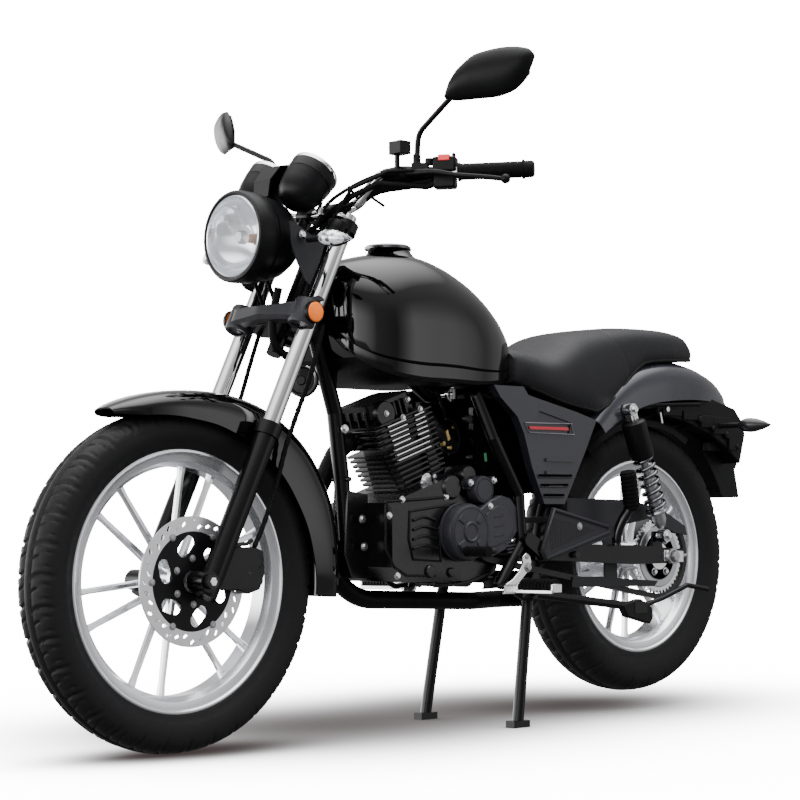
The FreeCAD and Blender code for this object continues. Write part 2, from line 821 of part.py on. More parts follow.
def fork_cover():
    """The moulded cover in front of the lower yoke, wrapped round both legs."""
    low = lower_yoke_low + lower_yoke_h + seat_gap
    half = fork_cover_w / 2 - reflector_thick
    inner = fork_half_spread + stanchion_r + seat_gap
    front = fork_offset + stanchion_r + seat_gap
    outline = [(front + fork_cover_d, 0), (front + fork_cover_d * 0.8, half * 0.55),
               (front + fork_cover_d * 0.35, half), (fork_offset - stanchion_r, half),
               (fork_offset - stanchion_r, inner), (front, inner)]
    outline = outline + [(d, -y) for d, y in reversed(outline) if y > 0]
    points = [steer_point(low, d, y) for d, y in outline]
    cover = Part.Face(Part.makePolygon(points + points[:1])).extrude(steer_dir * fork_cover_h)
    return cover


def fork_reflectors():
    def one():
        middle = steer_point(lower_yoke_low + lower_yoke_h + fork_cover_h / 2, fork_offset,
                             fork_cover_w / 2 - reflector_thick)
        return rod(middle, middle + V(0, reflector_thick, 0), reflector_r)
    return both_sides(one)


# Front fender

def arch_station(centre, angle, crown_r, skirt_r, half_w, wall):
    """One cross-section of a fender: a U about the tyre, as a closed wire."""
    out = V(cos(radians(angle)), 0, sin(radians(angle)))
    rings = []
    for inset in (0, wall):
        top = crown_r - inset
        side = half_w - inset
        rise = top - skirt_r
        half = [(side * a, skirt_r + rise * b) for a, b in reversed(arch_shares)]
        rings.append(half + [(-y, r) for y, r in reversed(half) if y > 0])
    points = [centre + out * r + V(0, y, 0) for y, r in rings[0] + rings[1][::-1]]
    return Part.makePolygon(points + points[:1])


def fender_shell(centre, shares, crown_r, skirt_r, half_w):
    wires = []
    for angle, crown, skirt, width in shares:
        wires.append(arch_station(centre, angle, crown_r * crown, skirt_r * skirt,
                                  half_w * width, fender_wall))
    return Part.makeLoft(wires, True, True)


def front_fender():
    """The front mudguard, with a boss on each side that bolts to the leg."""
    shell = fender_shell(V(wheelbase, 0, front_axle_z), front_fender_shares,
                         front_fender_crown_r, front_fender_skirt_r, front_fender_half_w)
    bosses = []
    for side in SIDES:
        for along in (slider_top - slider_collar_h, slider_top - slider_collar_h * 0.2):
            point = steer_point(along, fork_offset)
            inner = front_fender_half_w - fender_wall / 2
            outer = fork_half_spread - slider_collar_r - seat_gap
            bosses.append(across(point.x, point.z, fender_boss_r, min(side * inner, side * outer),
                                 max(side * inner, side * outer)))
    return fused([shell] + bosses, tidy=False)


# Headlamp, signals and gauges

def headlamp_point(back):
    return V(headlamp_face_x - back, 0, headlamp_z)


def headlamp_shell():
    """A bowl with a thick bezel, hollow behind the lens, and a boss each side."""
    r = headlamp_r
    d = headlamp_depth
    outer = [(headlamp_lens_r, 0), (r * 0.98, 0), (r, d * 0.04), (r, d * 0.22), (r * 0.97, d * 0.25),
             (r * 0.96, d * 0.5), (r * 0.86, d * 0.72), (r * 0.6, d * 0.92), (r * 0.3, d), (0, d)]
    bowl = [(0, d * 0.52), (r * 0.35, d * 0.48), (r * 0.65, d * 0.34), (headlamp_lens_r, d * 0.12)]
    shell = turned(outer + bowl, headlamp_point(0), V(-1, 0, 0))
    bosses = []
    for side in SIDES:
        inner = headlamp_r * 0.9
        outer_y = bracket_half_w - bracket_thick - seat_gap
        bosses.append(across(bracket_bolt_x, headlamp_z, bracket_bolt_r * 2.4,
                             min(side * inner, side * outer_y), max(side * inner, side * outer_y)))
    return fused([shell] + bosses)


def headlamp_lens():
    """The domed glass, seated in the bezel."""
    r = headlamp_lens_r - seat_gap
    d = headlamp_lens_dome
    profile = [(0, -d), (r * 0.5, -d * 0.78), (r * 0.85, -d * 0.3), (r, 0), (r, d * 0.5), (0, d * 0.5)]
    return turned(profile, headlamp_point(0), V(-1, 0, 0))


def headlamp_bracket():
    """A sleeve round each leg with a side plate forward to the lamp's bolt."""
    def one():
        low = steer_point(bracket_low, fork_offset, fork_half_spread)
        high = steer_point(bracket_high, fork_offset, fork_half_spread)
        sleeve = rod(low, high, bracket_sleeve_r)
        outline = [(low.x, low.z), (high.x, high.z), (bracket_bolt_x, headlamp_z + bracket_bolt_r * 3),
                   (bracket_bolt_x + bracket_bolt_r * 3, headlamp_z),
                   (bracket_bolt_x, headlamp_z - bracket_bolt_r * 3)]
        plate = slab(outline, bracket_half_w - bracket_thick, bracket_half_w)
        bolt = across(bracket_bolt_x, headlamp_z, bracket_bolt_r, bracket_half_w - bracket_thick,
                      bracket_half_w + bracket_thick)
        whole = fused([sleeve, plate, bolt])
        hole = rod(steer_point(bracket_low - overrun, fork_offset, fork_half_spread),
                   steer_point(bracket_high + overrun, fork_offset, fork_half_spread), stanchion_r + fit)
        return whole.cut(hole)
    return both_sides(one)


def front_signals():
    """Teardrop lamps on short stalks."""
    def one():
        inner = V(signal_front_x, signal_inner_y, signal_front_z)
        stalk = rod(V(signal_front_x, bracket_half_w + seat_gap, signal_front_z), inner, signal_stalk_r)
        r = signal_r
        body = turned([(0, 0), (r * 0.75, signal_l * 0.06), (r, signal_l * 0.3),
                       (r * 0.86, signal_l * 0.6),
                       (r * 0.4, signal_l * 0.9), (0, signal_l)], inner - V(0, signal_r * 0.3, 0),
                      V(signal_sweep_share * -1, 1, 0).normalize())
        return fused([stalk, body])
    return both_sides(one)


def gauge_axis():
    return V(-cos(radians(gauge_tilt)), 0, sin(radians(gauge_tilt)))


def gauge_cups():
    """Two round cups joined by a bridge that follows them."""
    up = gauge_axis()
    cups = []
    for side in SIDES:
        face = V(gauge_x, side * gauge_half_spread, gauge_z)
        r = gauge_r
        d = gauge_depth
        cups.append(turned([(0, -gauge_ring_h * 1.5), (r * 0.86, -gauge_ring_h * 1.5), (r * 0.86, 0),
                            (r, 0),
                            (r, -d * 0.4), (r * 0.94, -d * 0.62), (r * 0.7, -d * 0.88), (r * 0.3, -d),
                            (0, -d)],
                           face, up))
    middle = V(gauge_x, 0, gauge_z)
    side_way = V(up.z, 0, -up.x)
    half = gauge_bridge_w / 2
    corners = []
    for along, out in ((-0.12, 0.55), (-0.30, 0.98), (-0.75, 0.95), (-0.95, 0.35), (-0.80, -0.2),
                       (-0.12, -0.2)):
        point = middle + up * (gauge_depth * along) + side_way * (gauge_r * out)
        corners.append((point.x, point.z))
    bridge = slab(corners, -half, half)
    stays = []
    for side in SIDES:
        foot = steer_point(upper_yoke_low + upper_yoke_h + seat_gap, fork_offset + gauge_stay_r * 2,
                           side * gauge_stay_y)
        stays.append(pipe([foot, foot + steer_dir * gauge_stay_h,
                           middle + up * (-gauge_depth * 0.5) + V(0, side * gauge_stay_y, 0)],
                           gauge_stay_r))
    return fused(cups + [bridge] + stays)


def gauge_rings():
    def one():
        face = V(gauge_x, gauge_half_spread, gauge_z) + gauge_axis() * seat_gap
        r = gauge_r
        return turned([(r * 0.84, 0), (r, 0), (r * 0.98, gauge_ring_h * 0.7), (r * 0.9, gauge_ring_h),
                       (r * 0.84, gauge_ring_h * 0.8)], face, gauge_axis())
    return both_sides(one)


def gauge_glass():
    def one():
        face = V(gauge_x, gauge_half_spread, gauge_z) - gauge_axis() * gauge_ring_h
        return rod(face, face + gauge_axis() * gauge_ring_h, gauge_r * 0.84 - seat_gap)
    return both_sides(one)


# Handlebar and controls

def bar_points():
    """The bar's route from the middle to the left end."""
    return [V(bar_clamp_x, 0, bar_clamp_z),
            V(bar_clamp_x, bar_half_w * 0.23, bar_clamp_z),
            V(bar_clamp_x - bar_sweep * 0.08, bar_half_w * 0.42, bar_clamp_z + bar_rise),
            V(bar_clamp_x - bar_sweep, bar_half_w, bar_clamp_z + bar_rise * 0.95)]


def handlebar():
    left = bar_points()
    right = [V(p.x, -p.y, p.z) for p in reversed(left[1:])]
    return pipe(right + left[1:], bar_r)


def grip_frame():
    """End of the left grip run and its direction."""
    points = bar_points()
    end = points[-1]
    along = end - points[-2]
    along.normalize()
    return end, along


def on_grip(from_end):
    end, along = grip_frame()
    return end - along * from_end


def grips():
    def one():
        end, along = grip_frame()
        r = grip_r
        profile = [(bar_r + fit, -grip_l), (grip_flange_r, -grip_l), (grip_flange_r, -grip_l * 0.96),
                   (r, -grip_l * 0.96), (r, 0), (bar_r + fit, 0)]
        return turned(profile, end, along)
    return both_sides(one)


def switch_boxes():
    """The switch housings inboard of the grips."""
    def one():
        end, along = grip_frame()
        start = grip_l + seat_gap
        r = switch_r
        profile = [(bar_r + fit, -start - switch_l), (r * 0.9, -start - switch_l),
                   (r, -start - switch_l * 0.9),
                   (r, -start - switch_l * 0.1), (r * 0.9, -start), (bar_r + fit, -start)]
        return turned(profile, end, along)
    return both_sides(one)


def lever_perch_place():
    return grip_l + switch_l + perch_w * 1.5


def hand_levers():
    """A perch ring on the bar and a blade that runs ahead of the grip to a ball."""
    def one():
        end, along = grip_frame()
        ahead = V(along.y, -along.x, 0).normalize()
        middle = on_grip(lever_perch_place())
        half = along * (perch_w / 2)
        ring = rod(middle - half, middle + half, switch_r * 0.8)
        hole = rod(middle - along * perch_w, middle + along * perch_w, bar_r + fit)
        joint = middle + ahead * (lever_reach * 0.7)
        arm = rod(middle + ahead * (bar_r + seat_gap), joint + ahead * lever_w, lever_w * 0.6)
        blade = [joint, joint + along * (lever_l * 0.3) + ahead * (lever_reach * 0.3),
                 joint + along * lever_l + ahead * (lever_reach * 0.25)]
        bar = pipe(blade, lever_thick / 2)
        tip = blade[-1]
        ball = rod(tip - along * (lever_thick * 0.6), tip + along * (lever_thick * 0.6),
                   lever_thick * 0.8)
        return drilled(fused([ring, arm, bar, ball]), [hole])
    left = one()
    return Part.makeCompound([left, fused([other_side(left), fluid_box()])])


def mirror_place(along):
    """A point of the mirror's lower edge, as a share of its length from the inner end."""
    foot = on_grip(lever_perch_place())
    inner_x = foot.x + switch_r * 1.4 - mirror_lean * along
    return V(inner_x, mirror_half_w - mirror_head_l * (1 - along), mirror_low_z)


def mirror_head():
    """A flat-backed leaf, pointed at both ends."""
    wires = []
    for along, low, high, deep in mirror_outline_shares:
        middle = mirror_place(along) + V(0, 0, mirror_head_h * (low + high) / 2)
        half = mirror_head_h * (high - low) / 2
        ring = [middle + V(mirror_head_d * deep * ahead, 0, half * up)
                for ahead, up in mirror_section_shares]
        wires.append(Part.makePolygon(ring + ring[:1]))
    return Part.makeLoft(wires, True, True)


def mirrors():
    """A bent stem from the perch and a swept head."""
    def one():
        foot = on_grip(lever_perch_place()) + V(0, 0, switch_r * 0.8 + seat_gap)
        neck = mirror_place(0.13) + V(0, 0, mirror_head_h * 0.2)
        elbow = V(foot.x, foot.y + mirror_stem_r, foot.z + (neck.z - foot.z) * 0.62)
        stem = pipe([foot, elbow, neck], mirror_stem_r)
        boss = rod(foot, foot + V(0, 0, mirror_stem_r * 4), mirror_stem_r * 1.7)
        return fused([stem, boss, mirror_head()])
    return both_sides(one)


def fluid_box():
    """The brake fluid box on the right perch."""
    middle = on_grip(lever_perch_place())
    size = switch_l * 0.5
    low = V(middle.x + bar_r * 2, -middle.y - size * 0.4, middle.z + bar_r * 0.5)
    body = softened(block(low, low + V(size * 1.6, size * 2, size * 1.3)), size * 0.25, V(0, 0, 1))
    return body.cut(other_side(rod(on_grip(0), on_grip(grip_l * 2.4), bar_r + seat_gap)))


def bar_lead(far):
    """A lead's way along the bar, from the controls to the back of the lamp."""
    start = on_grip(grip_l + switch_l + lead_r * 0.36)
    bend = bar_points()[2]
    foot = bar_points()[1]
    return [start - V(0, 0, bar_r * 1.6), on_grip(grip_l + switch_l + perch_w * 1.6) - V(0, 0,
                                                                                         bar_r * 2.7),
            bend + V(bar_r, 0, -bar_r * 2.1), foot + V(bar_r * 1.9, gauge_ring_h * 3, bar_r * 1.9),
            V(gauge_x - gauge_r * 0.52, foot.y * 0.76, gauge_z - gauge_depth * 0.95),
            far - V(lead_r * 3, 0, 0), far]


def cables():
    """On each side a control cable and the switch leads, held along the bar and the fork."""
    def one():
        lamp_back = headlamp_point(headlamp_depth)
        leads = pipe(bar_lead(lamp_back + V(-seat_gap, cable_side, lead_r)), lead_r)
        perch = on_grip(lever_perch_place() + perch_w / 2) + V(switch_r, 0, 0)
        foot = bar_points()[1]
        way = [perch, perch + V(bar_r * 2.6, -cable_side * 2, 0),
               V(foot.x + bar_r * 2.4, foot.y * 1.36, foot.z + bar_rise * 0.53),
               V(foot.x + bar_r * 4.2, foot.y * 1.03, foot.z - bar_r * 1.8),
               steer_point(upper_yoke_low - upper_yoke_h, fork_offset * 1.9, gauge_half_spread),
               steer_point((lower_yoke_low + upper_yoke_low) / 2, fork_offset * 1.2, gauge_half_spread),
               steer_point(lower_yoke_low + lower_yoke_h + cable_r * 0.3, fork_offset * 0.65,
                           gauge_half_spread)]
        return Part.makeCompound([leads, pipe(way, cable_r)])
    return both_sides(one)


# Frame

def frame_front():
    """Head tube, downtube and backbone, with their gusset and the engine plates."""
    head = rod(steer_point(head_tube_low, 0), steer_point(head_tube_high, 0), head_tube_r)
    mid = steer_point((head_tube_low + head_tube_high) / 2, 0)
    down = pipe([mid] + [V(x, 0, z) for x, z in downtube_points()], downtube_r)
    back = pipe([mid, V(tank_rear_x + tank_l * 0.55, 0, tank_floor_z + tank_tunnel_h * 0.55),
                 V(tank_rear_x + tank_l * 0.38, 0, rail_front_z),
                 V(rail_front_x + rail_r + seat_gap, 0, rail_front_z)], backbone_r * 0.8)
    gusset = slab([(mid.x - head_tube_r, mid.z - head_tube_r * 2),
                   (mid.x - head_tube_r * 3, mid.z - head_tube_r),
                   (downtube_points()[0])], -gusset_thick / 2, gusset_thick / 2)
    stem = rod(steer_point(head_tube_low - overrun, 0), steer_point(head_tube_high + overrun, 0),
               stem_r + fit)
    plates = [engine_plate(side) for side in SIDES]
    return drilled(fused([head, down, back, gusset] + plates + engine_bolts()), [stem])


def downtube_points():
    """Side view of the downtube, from the gusset to the engine mount."""
    return [(case_rear_x + case_l * 1.137, case_low_z + case_h * 1.77),
            (case_rear_x + case_l * 1.086, case_low_z + case_h * 1.08),
            (case_rear_x + case_l * 1.054, case_low_z + case_h * 0.45)]


def engine_plate(side):
    """A front mounting plate beside the downtube."""
    outline = [(case_rear_x + case_l * a, case_low_z + case_h * b) for a, b in plate_shares]
    inner = side * (downtube_r + seat_gap)
    outer = side * (downtube_r + seat_gap + gusset_thick)
    return slab(outline, min(inner, outer), max(inner, outer))


def engine_bolts():
    """The two bolts that hold the plates to the downtube."""
    reach = downtube_r + seat_gap + gusset_thick * 1.8
    return [across(x, z, gusset_thick, -reach, reach) for x, z in downtube_points()[1:]]


def frame_rear():
    """Seat rails, rear struts, stand lugs, pivot plates and side stand bracket."""
    parts = []
    for side in SIDES:
        y = side * rail_y
        parts.append(pipe([V(rail_front_x, 0, rail_front_z), V(rail_front_x, y, rail_front_z),
                           V(cover_rear_x + cover_l * 0.42, y, rail_front_z - rail_r),
                           V(shock_top_x, y, shock_top_z + shock_eye_r),
                           V(seat_rear_x, y, shock_top_z + shock_eye_r * 2)], rail_r))
        parts.append(pipe([V(rail_front_x, y, rail_front_z),
                           V(rail_front_x + rail_r * 2, y * 1.1, rail_front_z),
                           V(sprocket_x + rail_r * 0.6, side * strut_y, case_low_z + case_h * 1.53),
                           V(pivot_x + pivot_tube_r * 2.6, side * strut_y, case_low_z + case_h * 0.92),
                           V(pivot_x + pivot_tube_r * 2.2, side * strut_y, pivot_z + pivot_tube_r),
                           V(peg_x, side * strut_y, peg_z)], rail_r))
        stud = sorted((y, side * (shock_y - shock_eye_r * 0.7)))
        parts.append(across(shock_top_x, shock_top_z, shock_eye_r * 0.7, stud[0], stud[1]))
        parts += stand_lug(side) + pivot_plate(side)
    for x, z in ((shock_top_x, shock_top_z + shock_eye_r),
                 (seat_rear_x + rail_r, shock_top_z + shock_eye_r * 2)):
        parts.append(across(x, z, rail_r * 0.8, -rail_y, rail_y))
    parts.append(across(centre_pivot_x, centre_pivot_z, centre_bolt_r,
                        -centre_leg_y - centre_leg_r - lug_thick,
                        centre_leg_y + centre_leg_r + lug_thick))
    parts.append(across(pivot_x, pivot_z, rear_axle_r, -arm_y - arm_w * 0.7, arm_y + arm_w * 0.7))
    peg_bar = across(peg_x, peg_z, peg_r * 0.55 + fit, -bar_half_w, bar_half_w)
    return fused(parts + side_stand_bracket()).cut(peg_bar)


def stand_lug(side):
    """A plate from the peg tube back to the centre stand's bolt, and the bolt's nut."""
    x = centre_pivot_x
    z = centre_pivot_z
    low, high = sorted((side * lug_y, side * (lug_y + lug_thick)))
    outline = [(x - lug_r * 0.9, z - lug_r * 0.5), (x - lug_r * 0.4, z - lug_r * 0.95),
               (x + lug_r * 0.6, z - lug_r * 0.9), (x + lug_r * 3, peg_z - peg_r * 0.4),
               (peg_x, peg_z - peg_r * 0.5), (peg_x, peg_z + peg_r * 0.5),
               (x + lug_r * 3, z + lug_r * 0.4), (x + lug_r * 0.4, z + lug_r),
               (x - lug_r * 0.8, z + lug_r * 0.6)]
    outer = centre_leg_y + centre_leg_r
    nut = sorted((side * (outer + run_clear / 2), side * (outer + lug_thick)))
    return [slab(outline, low, high), across(x, z, centre_bolt_r * 1.6, nut[0], nut[1])]


def pivot_plate(side):
    """The plate outside the arm that carries the swingarm's bolt."""
    inner = arm_y + arm_w / 2 + seat_gap
    low, high = sorted((side * inner, side * (inner + gusset_thick)))
    r = pivot_tube_r
    strut_x = pivot_x + r * 2.3
    outline = [(pivot_x - r * 0.8, pivot_z - r * 0.5), (pivot_x + r * 0.2, pivot_z - r * 0.8),
               (strut_x + r * 0.4, pivot_z + r * 0.8), (strut_x + r * 0.2, pivot_z + r * 1.9),
               (strut_x - r * 0.6, pivot_z + r * 1.9), (pivot_x - r * 0.6, pivot_z + r * 0.7)]
    boss = sorted((side * strut_y, side * (inner + gusset_thick)))
    return [slab(outline, low, high), across(strut_x, pivot_z + r * 1.2, r * 0.5, boss[0], boss[1])]



# Tank, seat and covers

def loft_body(stations, section, rear_x, length, floor_z, height, half_w, grow=0):
    """A body through smooth sections; grow widens it all round."""
    wires = []
    for along, top, low, wide in stations:
        x = rear_x + length * along
        z_low = floor_z + height * low - grow
        rise = floor_z + height * top + grow - z_low
        side = half_w * wide + grow
        half = [(side * a, z_low + rise * b) for a, b in section]
        points = [V(x, y, z) for y, z in mirrored(half)]
        wires.append(Part.makePolygon(points + points[:1]))
    return Part.makeLoft(wires, True, True)


def tank_body(grow=0):
    return loft_body(tank_station_shares, tank_section_shares, tank_rear_x - grow,
                     tank_l + grow * 2, tank_floor_z, tank_h, tank_half_w, grow)


def cap_seat_z():
    return tank_floor_z + tank_h


def fuel_tank():
    """The tank, open below for the backbone, with a neck under its cap."""
    floor = tank_floor_z - overrun
    front_x = tank_rear_x + tank_l + overrun
    tunnel = slab([(tank_rear_x - overrun, floor), (tank_rear_x - overrun, tank_floor_z + tank_tunnel_h),
                   (tank_rear_x + tank_l * 0.45, tank_floor_z + tank_tunnel_h),
                   (tank_rear_x + tank_l * 0.86, tank_floor_z + tank_h * 0.64),
                   (front_x, tank_floor_z + tank_h * 0.86), (front_x, floor)],
                  -tank_tunnel_w / 2, tank_tunnel_w / 2)
    head = rod(steer_point(head_tube_low, 0), steer_point(head_tube_high, 0), head_tube_r + run_clear)
    neck = rod(V(cap_x, 0, cap_seat_z() - cap_h * 3), V(cap_x, 0, cap_seat_z()), cap_r)
    hinge_x = cap_x - cap_r - cap_hinge_r
    hinge_z = cap_seat_z() + cap_hinge_r
    hinge = across(hinge_x, hinge_z, cap_hinge_r / 2, -cap_r * 0.38, cap_r * 0.38)
    ears = []
    for side in SIDES:
        low, high = sorted((side * cap_r * 0.32, side * cap_r * 0.42))
        ears.append(across(hinge_x, hinge_z, cap_hinge_r, low, high))
        ears.append(block(V(hinge_x - cap_hinge_r * 0.8, low, cap_seat_z() - cap_hinge_r),
                          V(hinge_x + cap_hinge_r * 0.8, high, hinge_z)))
    foot = block(V(cap_x - cap_r - cap_hinge_r * 2, -cap_r * 0.5, cap_seat_z() - cap_h * 3),
                 V(cap_x - cap_r * 0.8, cap_r * 0.5, cap_seat_z()))
    whole = drilled(tank_body(), [tunnel, head])
    return fused([whole, neck, foot, hinge] + ears, tidy=False)


def fuel_cap():
    """The hinged lid on the filler neck."""
    low = cap_seat_z() + seat_gap
    lid = turned([(0, 0), (cap_r, 0), (cap_r, cap_h * 0.6), (cap_r * 0.9, cap_h), (0, cap_h)],
                 V(cap_x, 0, low), V(0, 0, 1))
    x = cap_x - cap_r - cap_hinge_r
    z = cap_seat_z() + cap_hinge_r
    knuckle = across(x, z, cap_hinge_r - seat_gap, -cap_r * 0.28, cap_r * 0.28)
    strap = block(V(x, -cap_r * 0.28, z), V(cap_x - cap_r * 0.7, cap_r * 0.28,
                                            z + cap_hinge_r - seat_gap))
    hole = across(x, z, cap_hinge_r / 2 + fit, -cap_r, cap_r)
    return drilled(fused([lid, strap, knuckle]), [hole])


def seat():
    """The stepped seat, open below over the rails, fitted round the tank's tail."""
    body = loft_body(seat_station_shares, seat_section_shares, seat_rear_x, seat_l,
                     seat_low_z, seat_h, seat_half_w)
    under = block(V(seat_rear_x - overrun, -seat_base_half_w, seat_low_z - overrun),
                  V(seat_rear_x + seat_l + overrun, seat_base_half_w, seat_base_z))
    rear_under = block(V(seat_rear_x - overrun, -seat_half_w, seat_low_z - overrun),
                       V(shock_foot_x + arm_w, seat_half_w, seat_low_z + seat_h * 0.60))
    return drilled(body, [under, rear_under, tank_body(seat_gap * 3), fender_block()])


def fender_block():
    """The room that the rear fender takes, for what is fitted over it."""
    outline = [(0, rear_axle_z)]
    for angle, crown, _, _ in rear_fender_shares:
        reach = rear_fender_crown_r * crown + seat_gap * 2
        outline.append((reach * cos(radians(angle)), rear_axle_z + reach * sin(radians(angle))))
    return slab(outline, -rear_fender_half_w - overrun, rear_fender_half_w + overrun)


def cover_panel():
    """The left side cover with its stripe field sunk and three louvres raised."""
    start = (cover_rear_x, cover_low_z)
    size = (cover_l, cover_h)
    outer = cover_inner_y + cover_thick
    panel = slab(spread(cover_outline_shares, start, size), cover_inner_y, outer)
    sunk = slab(spread(stripe_shares, start, size), outer - cover_recess, outer + overrun)
    louvres = []
    for rear, front, high in louvre_shares:
        z = cover_low_z + cover_h * high
        louvres.append(block(V(cover_rear_x + cover_l * rear, outer - cover_recess, z - louvre_h / 2),
                             V(cover_rear_x + cover_l * front, outer + cover_recess, z + louvre_h / 2)))
    pins = [across(cover_rear_x + cover_l * a, cover_low_z + cover_h * b, louvre_h,
                   cover_inner_y * 0.62 + seat_gap, cover_inner_y + overrun) for a,
                   b in cover_pin_shares]
    return fused([panel.cut(sunk)] + louvres + pins)


def battery_box():
    """The box between the side covers that holds the battery and air filter."""
    return block(V(cover_rear_x + cover_l * 0.22, -cover_inner_y * 0.62, cover_low_z + cover_h * 0.10),
                 V(box_front_x, cover_inner_y * 0.62, cover_low_z + cover_h * 0.86))


def rear_fender():
    """The rear mudguard, notched for the shock mounts."""
    shell = fender_shell(V(0, 0, rear_axle_z), rear_fender_shares,
                         rear_fender_crown_r, rear_fender_skirt_r, rear_fender_half_w)
    notch = across(shock_top_x, shock_top_z, shock_eye_r * 1.9, -rear_fender_half_w * 2,
                   rear_fender_half_w * 2)
    slot = across(shock_top_x - shock_eye_r * 0.6, shock_top_z - shock_eye_r * 1.4, shock_eye_r * 1.9,
                  -rear_fender_half_w * 2, rear_fender_half_w * 2)
    crown = block(V(-rail_y * 0.6, -rail_y - rail_r - overrun, rear_axle_z),
                  V(rear_fender_crown_r, rail_y + rail_r + overrun, rear_axle_z + rear_fender_crown_r))
    return drilled(shell, [notch, slot, crown])


def inner_fender():
    """The plain mudguard under the rails, close round the tyre."""
    return fender_shell(V(0, 0, rear_axle_z), inner_fender_shares, inner_fender_crown_r,
                        inner_fender_skirt_r, inner_fender_half_w)


# Engine

def engine_case():
    """The crankcase with its front and rear mounts."""
    start = (case_rear_x, case_low_z)
    body = slab(spread(case_outline_shares, start, (case_l, case_h)), -case_half_w, case_half_w)
    body = softened(body, case_corner_r, V(0, 1, 0))
    nose_x = case_rear_x + case_l - case_nose_l
    top = case_low_z + case_h + overrun
    sides = [block(V(nose_x, low, case_low_z - overrun), V(case_rear_x + case_l + overrun, high, top))
             for low, high in ((-case_half_w - overrun, -downtube_r),
                               (downtube_r, case_half_w + overrun))]
    return drilled(body, sides)


def left_covers():
    """Alternator, starter and drive covers on the engine's left."""
    y0 = case_half_w + seat_gap
    r = alternator_r
    centre = V(alternator_x, 0, alternator_z)
    alternator = turned([(0, y0), (r, y0), (r, alternator_y - y0 * 0.1), (r * 0.9, alternator_y),
                         (0, alternator_y)], centre, V(0, 1, 0))
    ribs = []
    for turn in range(4):
        angle = radians(45 + 90 * turn)
        way = V(cos(angle), 0, sin(angle))
        start = centre + way * (r * 0.36) + V(0, alternator_y, 0)
        end = centre + way * (r * 0.92) + V(0, alternator_y, 0)
        ribs.append(rod(start, end, rib_r))
    hub = across(alternator_x, alternator_z, r * 0.28, alternator_y - rib_r, alternator_y + rib_r)
    starter = across(starter_x, starter_z, starter_r, y0, alternator_y - rib_r)
    web = slab([(starter_x - starter_r, starter_z), (starter_x + starter_r, starter_z),
                (alternator_x + starter_r, alternator_z + r * 0.5),
                (alternator_x - r * 0.8, alternator_z)],
               y0, y0 + starter_r)
    drive_outline = [(alternator_x, alternator_z - r * 0.9), (alternator_x, alternator_z + r * 0.85)]
    drive_outline += spread(drive_shares, (sprocket_x, sprocket_z), (sprocket_cover_r, sprocket_cover_r))
    drive = slab(drive_outline, y0, sprocket_cover_y)
    hollow = across(sprocket_x, sprocket_z, front_sprocket_r + chain_h * 1.4, 0, chain_y + chain_w)
    tail = block(V(0, chain_y - chain_w, sprocket_z - front_sprocket_r - chain_h * 1.4),
                 V(sprocket_x, chain_y + chain_w, sprocket_z + front_sprocket_r + chain_h * 1.4))
    return fused([drive.cut(hollow).cut(tail), alternator.cut(hollow), hub, web.cut(hollow), starter] + ribs)


def right_cover():
    """The clutch cover on the engine's right."""
    y0 = case_half_w + seat_gap
    r = clutch_r
    round_part = turned([(0, y0), (r, y0), (r, clutch_y * 0.94), (r * 0.88, clutch_y), (0, clutch_y)],
                        V(clutch_x, 0, clutch_z), V(0, -1, 0))
    front = turned([(0, y0), (r * 0.62, y0), (r * 0.62, clutch_y * 0.88), (r * 0.5, clutch_y * 0.94),
                    (0, clutch_y * 0.94)], V(clutch_x + r * 1.35, 0, clutch_z), V(0, -1, 0))
    return fused([round_part, front])


def tilted_block(low, high, length, width):
    """A block across the cylinder's axis, between two heights along it."""
    size_x = length
    body = Part.makeBox(size_x, width, high - low, V(-size_x / 2, -width / 2, low))
    return body


def tilted(shape):
    """Lean a shape drawn on an upright axis forward, onto the crankcase."""
    shape = shape.copy()
    shape.rotate(V(0, 0, 0), V(0, 1, 0), cylinder_tilt)
    shape.translate(V(cylinder_x, 0, cylinder_z))
    return shape


def finned(low, high, length, width, foot_share=1.0):
    """A core with square fins that keep one pitch; the front may draw in towards the foot."""
    short = length * foot_share
    core = tilted_block(low, high, short - fin_depth * 2, width - fin_depth * 2)
    core.translate(V((short - length) / 2, 0, 0))
    parts = [core]
    count = int((high - low) / fin_pitch)
    for i in range(count):
        at = low + fin_pitch * (i + 0.5)
        fin_length = short + (length - short) * (at - low) / (high - low)
        fin = tilted_block(at - fin_thick / 2, at + fin_thick / 2, fin_length, width)
        fin.translate(V((fin_length - length) / 2, 0, 0))
        parts.append(softened(fin, fin_depth, V(0, 0, 1)))
    return fused(parts)


def cylinder():
    high = cylinder_foot + cylinder_h
    return tilted(finned(cylinder_foot, high, cylinder_l, cylinder_w, cylinder_foot_share))


def cylinder_head():
    """The finned head with the rocker cover on top."""
    low = cylinder_foot + cylinder_h + seat_gap
    fins = finned(low, low + head_h, head_l, head_w)
    top = tilted_block(low + head_h, low + head_h + rocker_h, rocker_l, rocker_w)
    top = softened(top, fin_depth, V(0, 0, 1))
    return tilted(fused([fins, top]))


def head_port_point():
    """Middle of the exhaust port on the head's front face."""
    up = V(sin(radians(cylinder_tilt)), 0, cos(radians(cylinder_tilt)))
    ahead = V(up.z, 0, -up.x)
    return (V(cylinder_x, -head_w * 0.12, cylinder_z) + up * (cylinder_foot + cylinder_h + head_h * 0.4)
            + ahead * (head_l / 2))


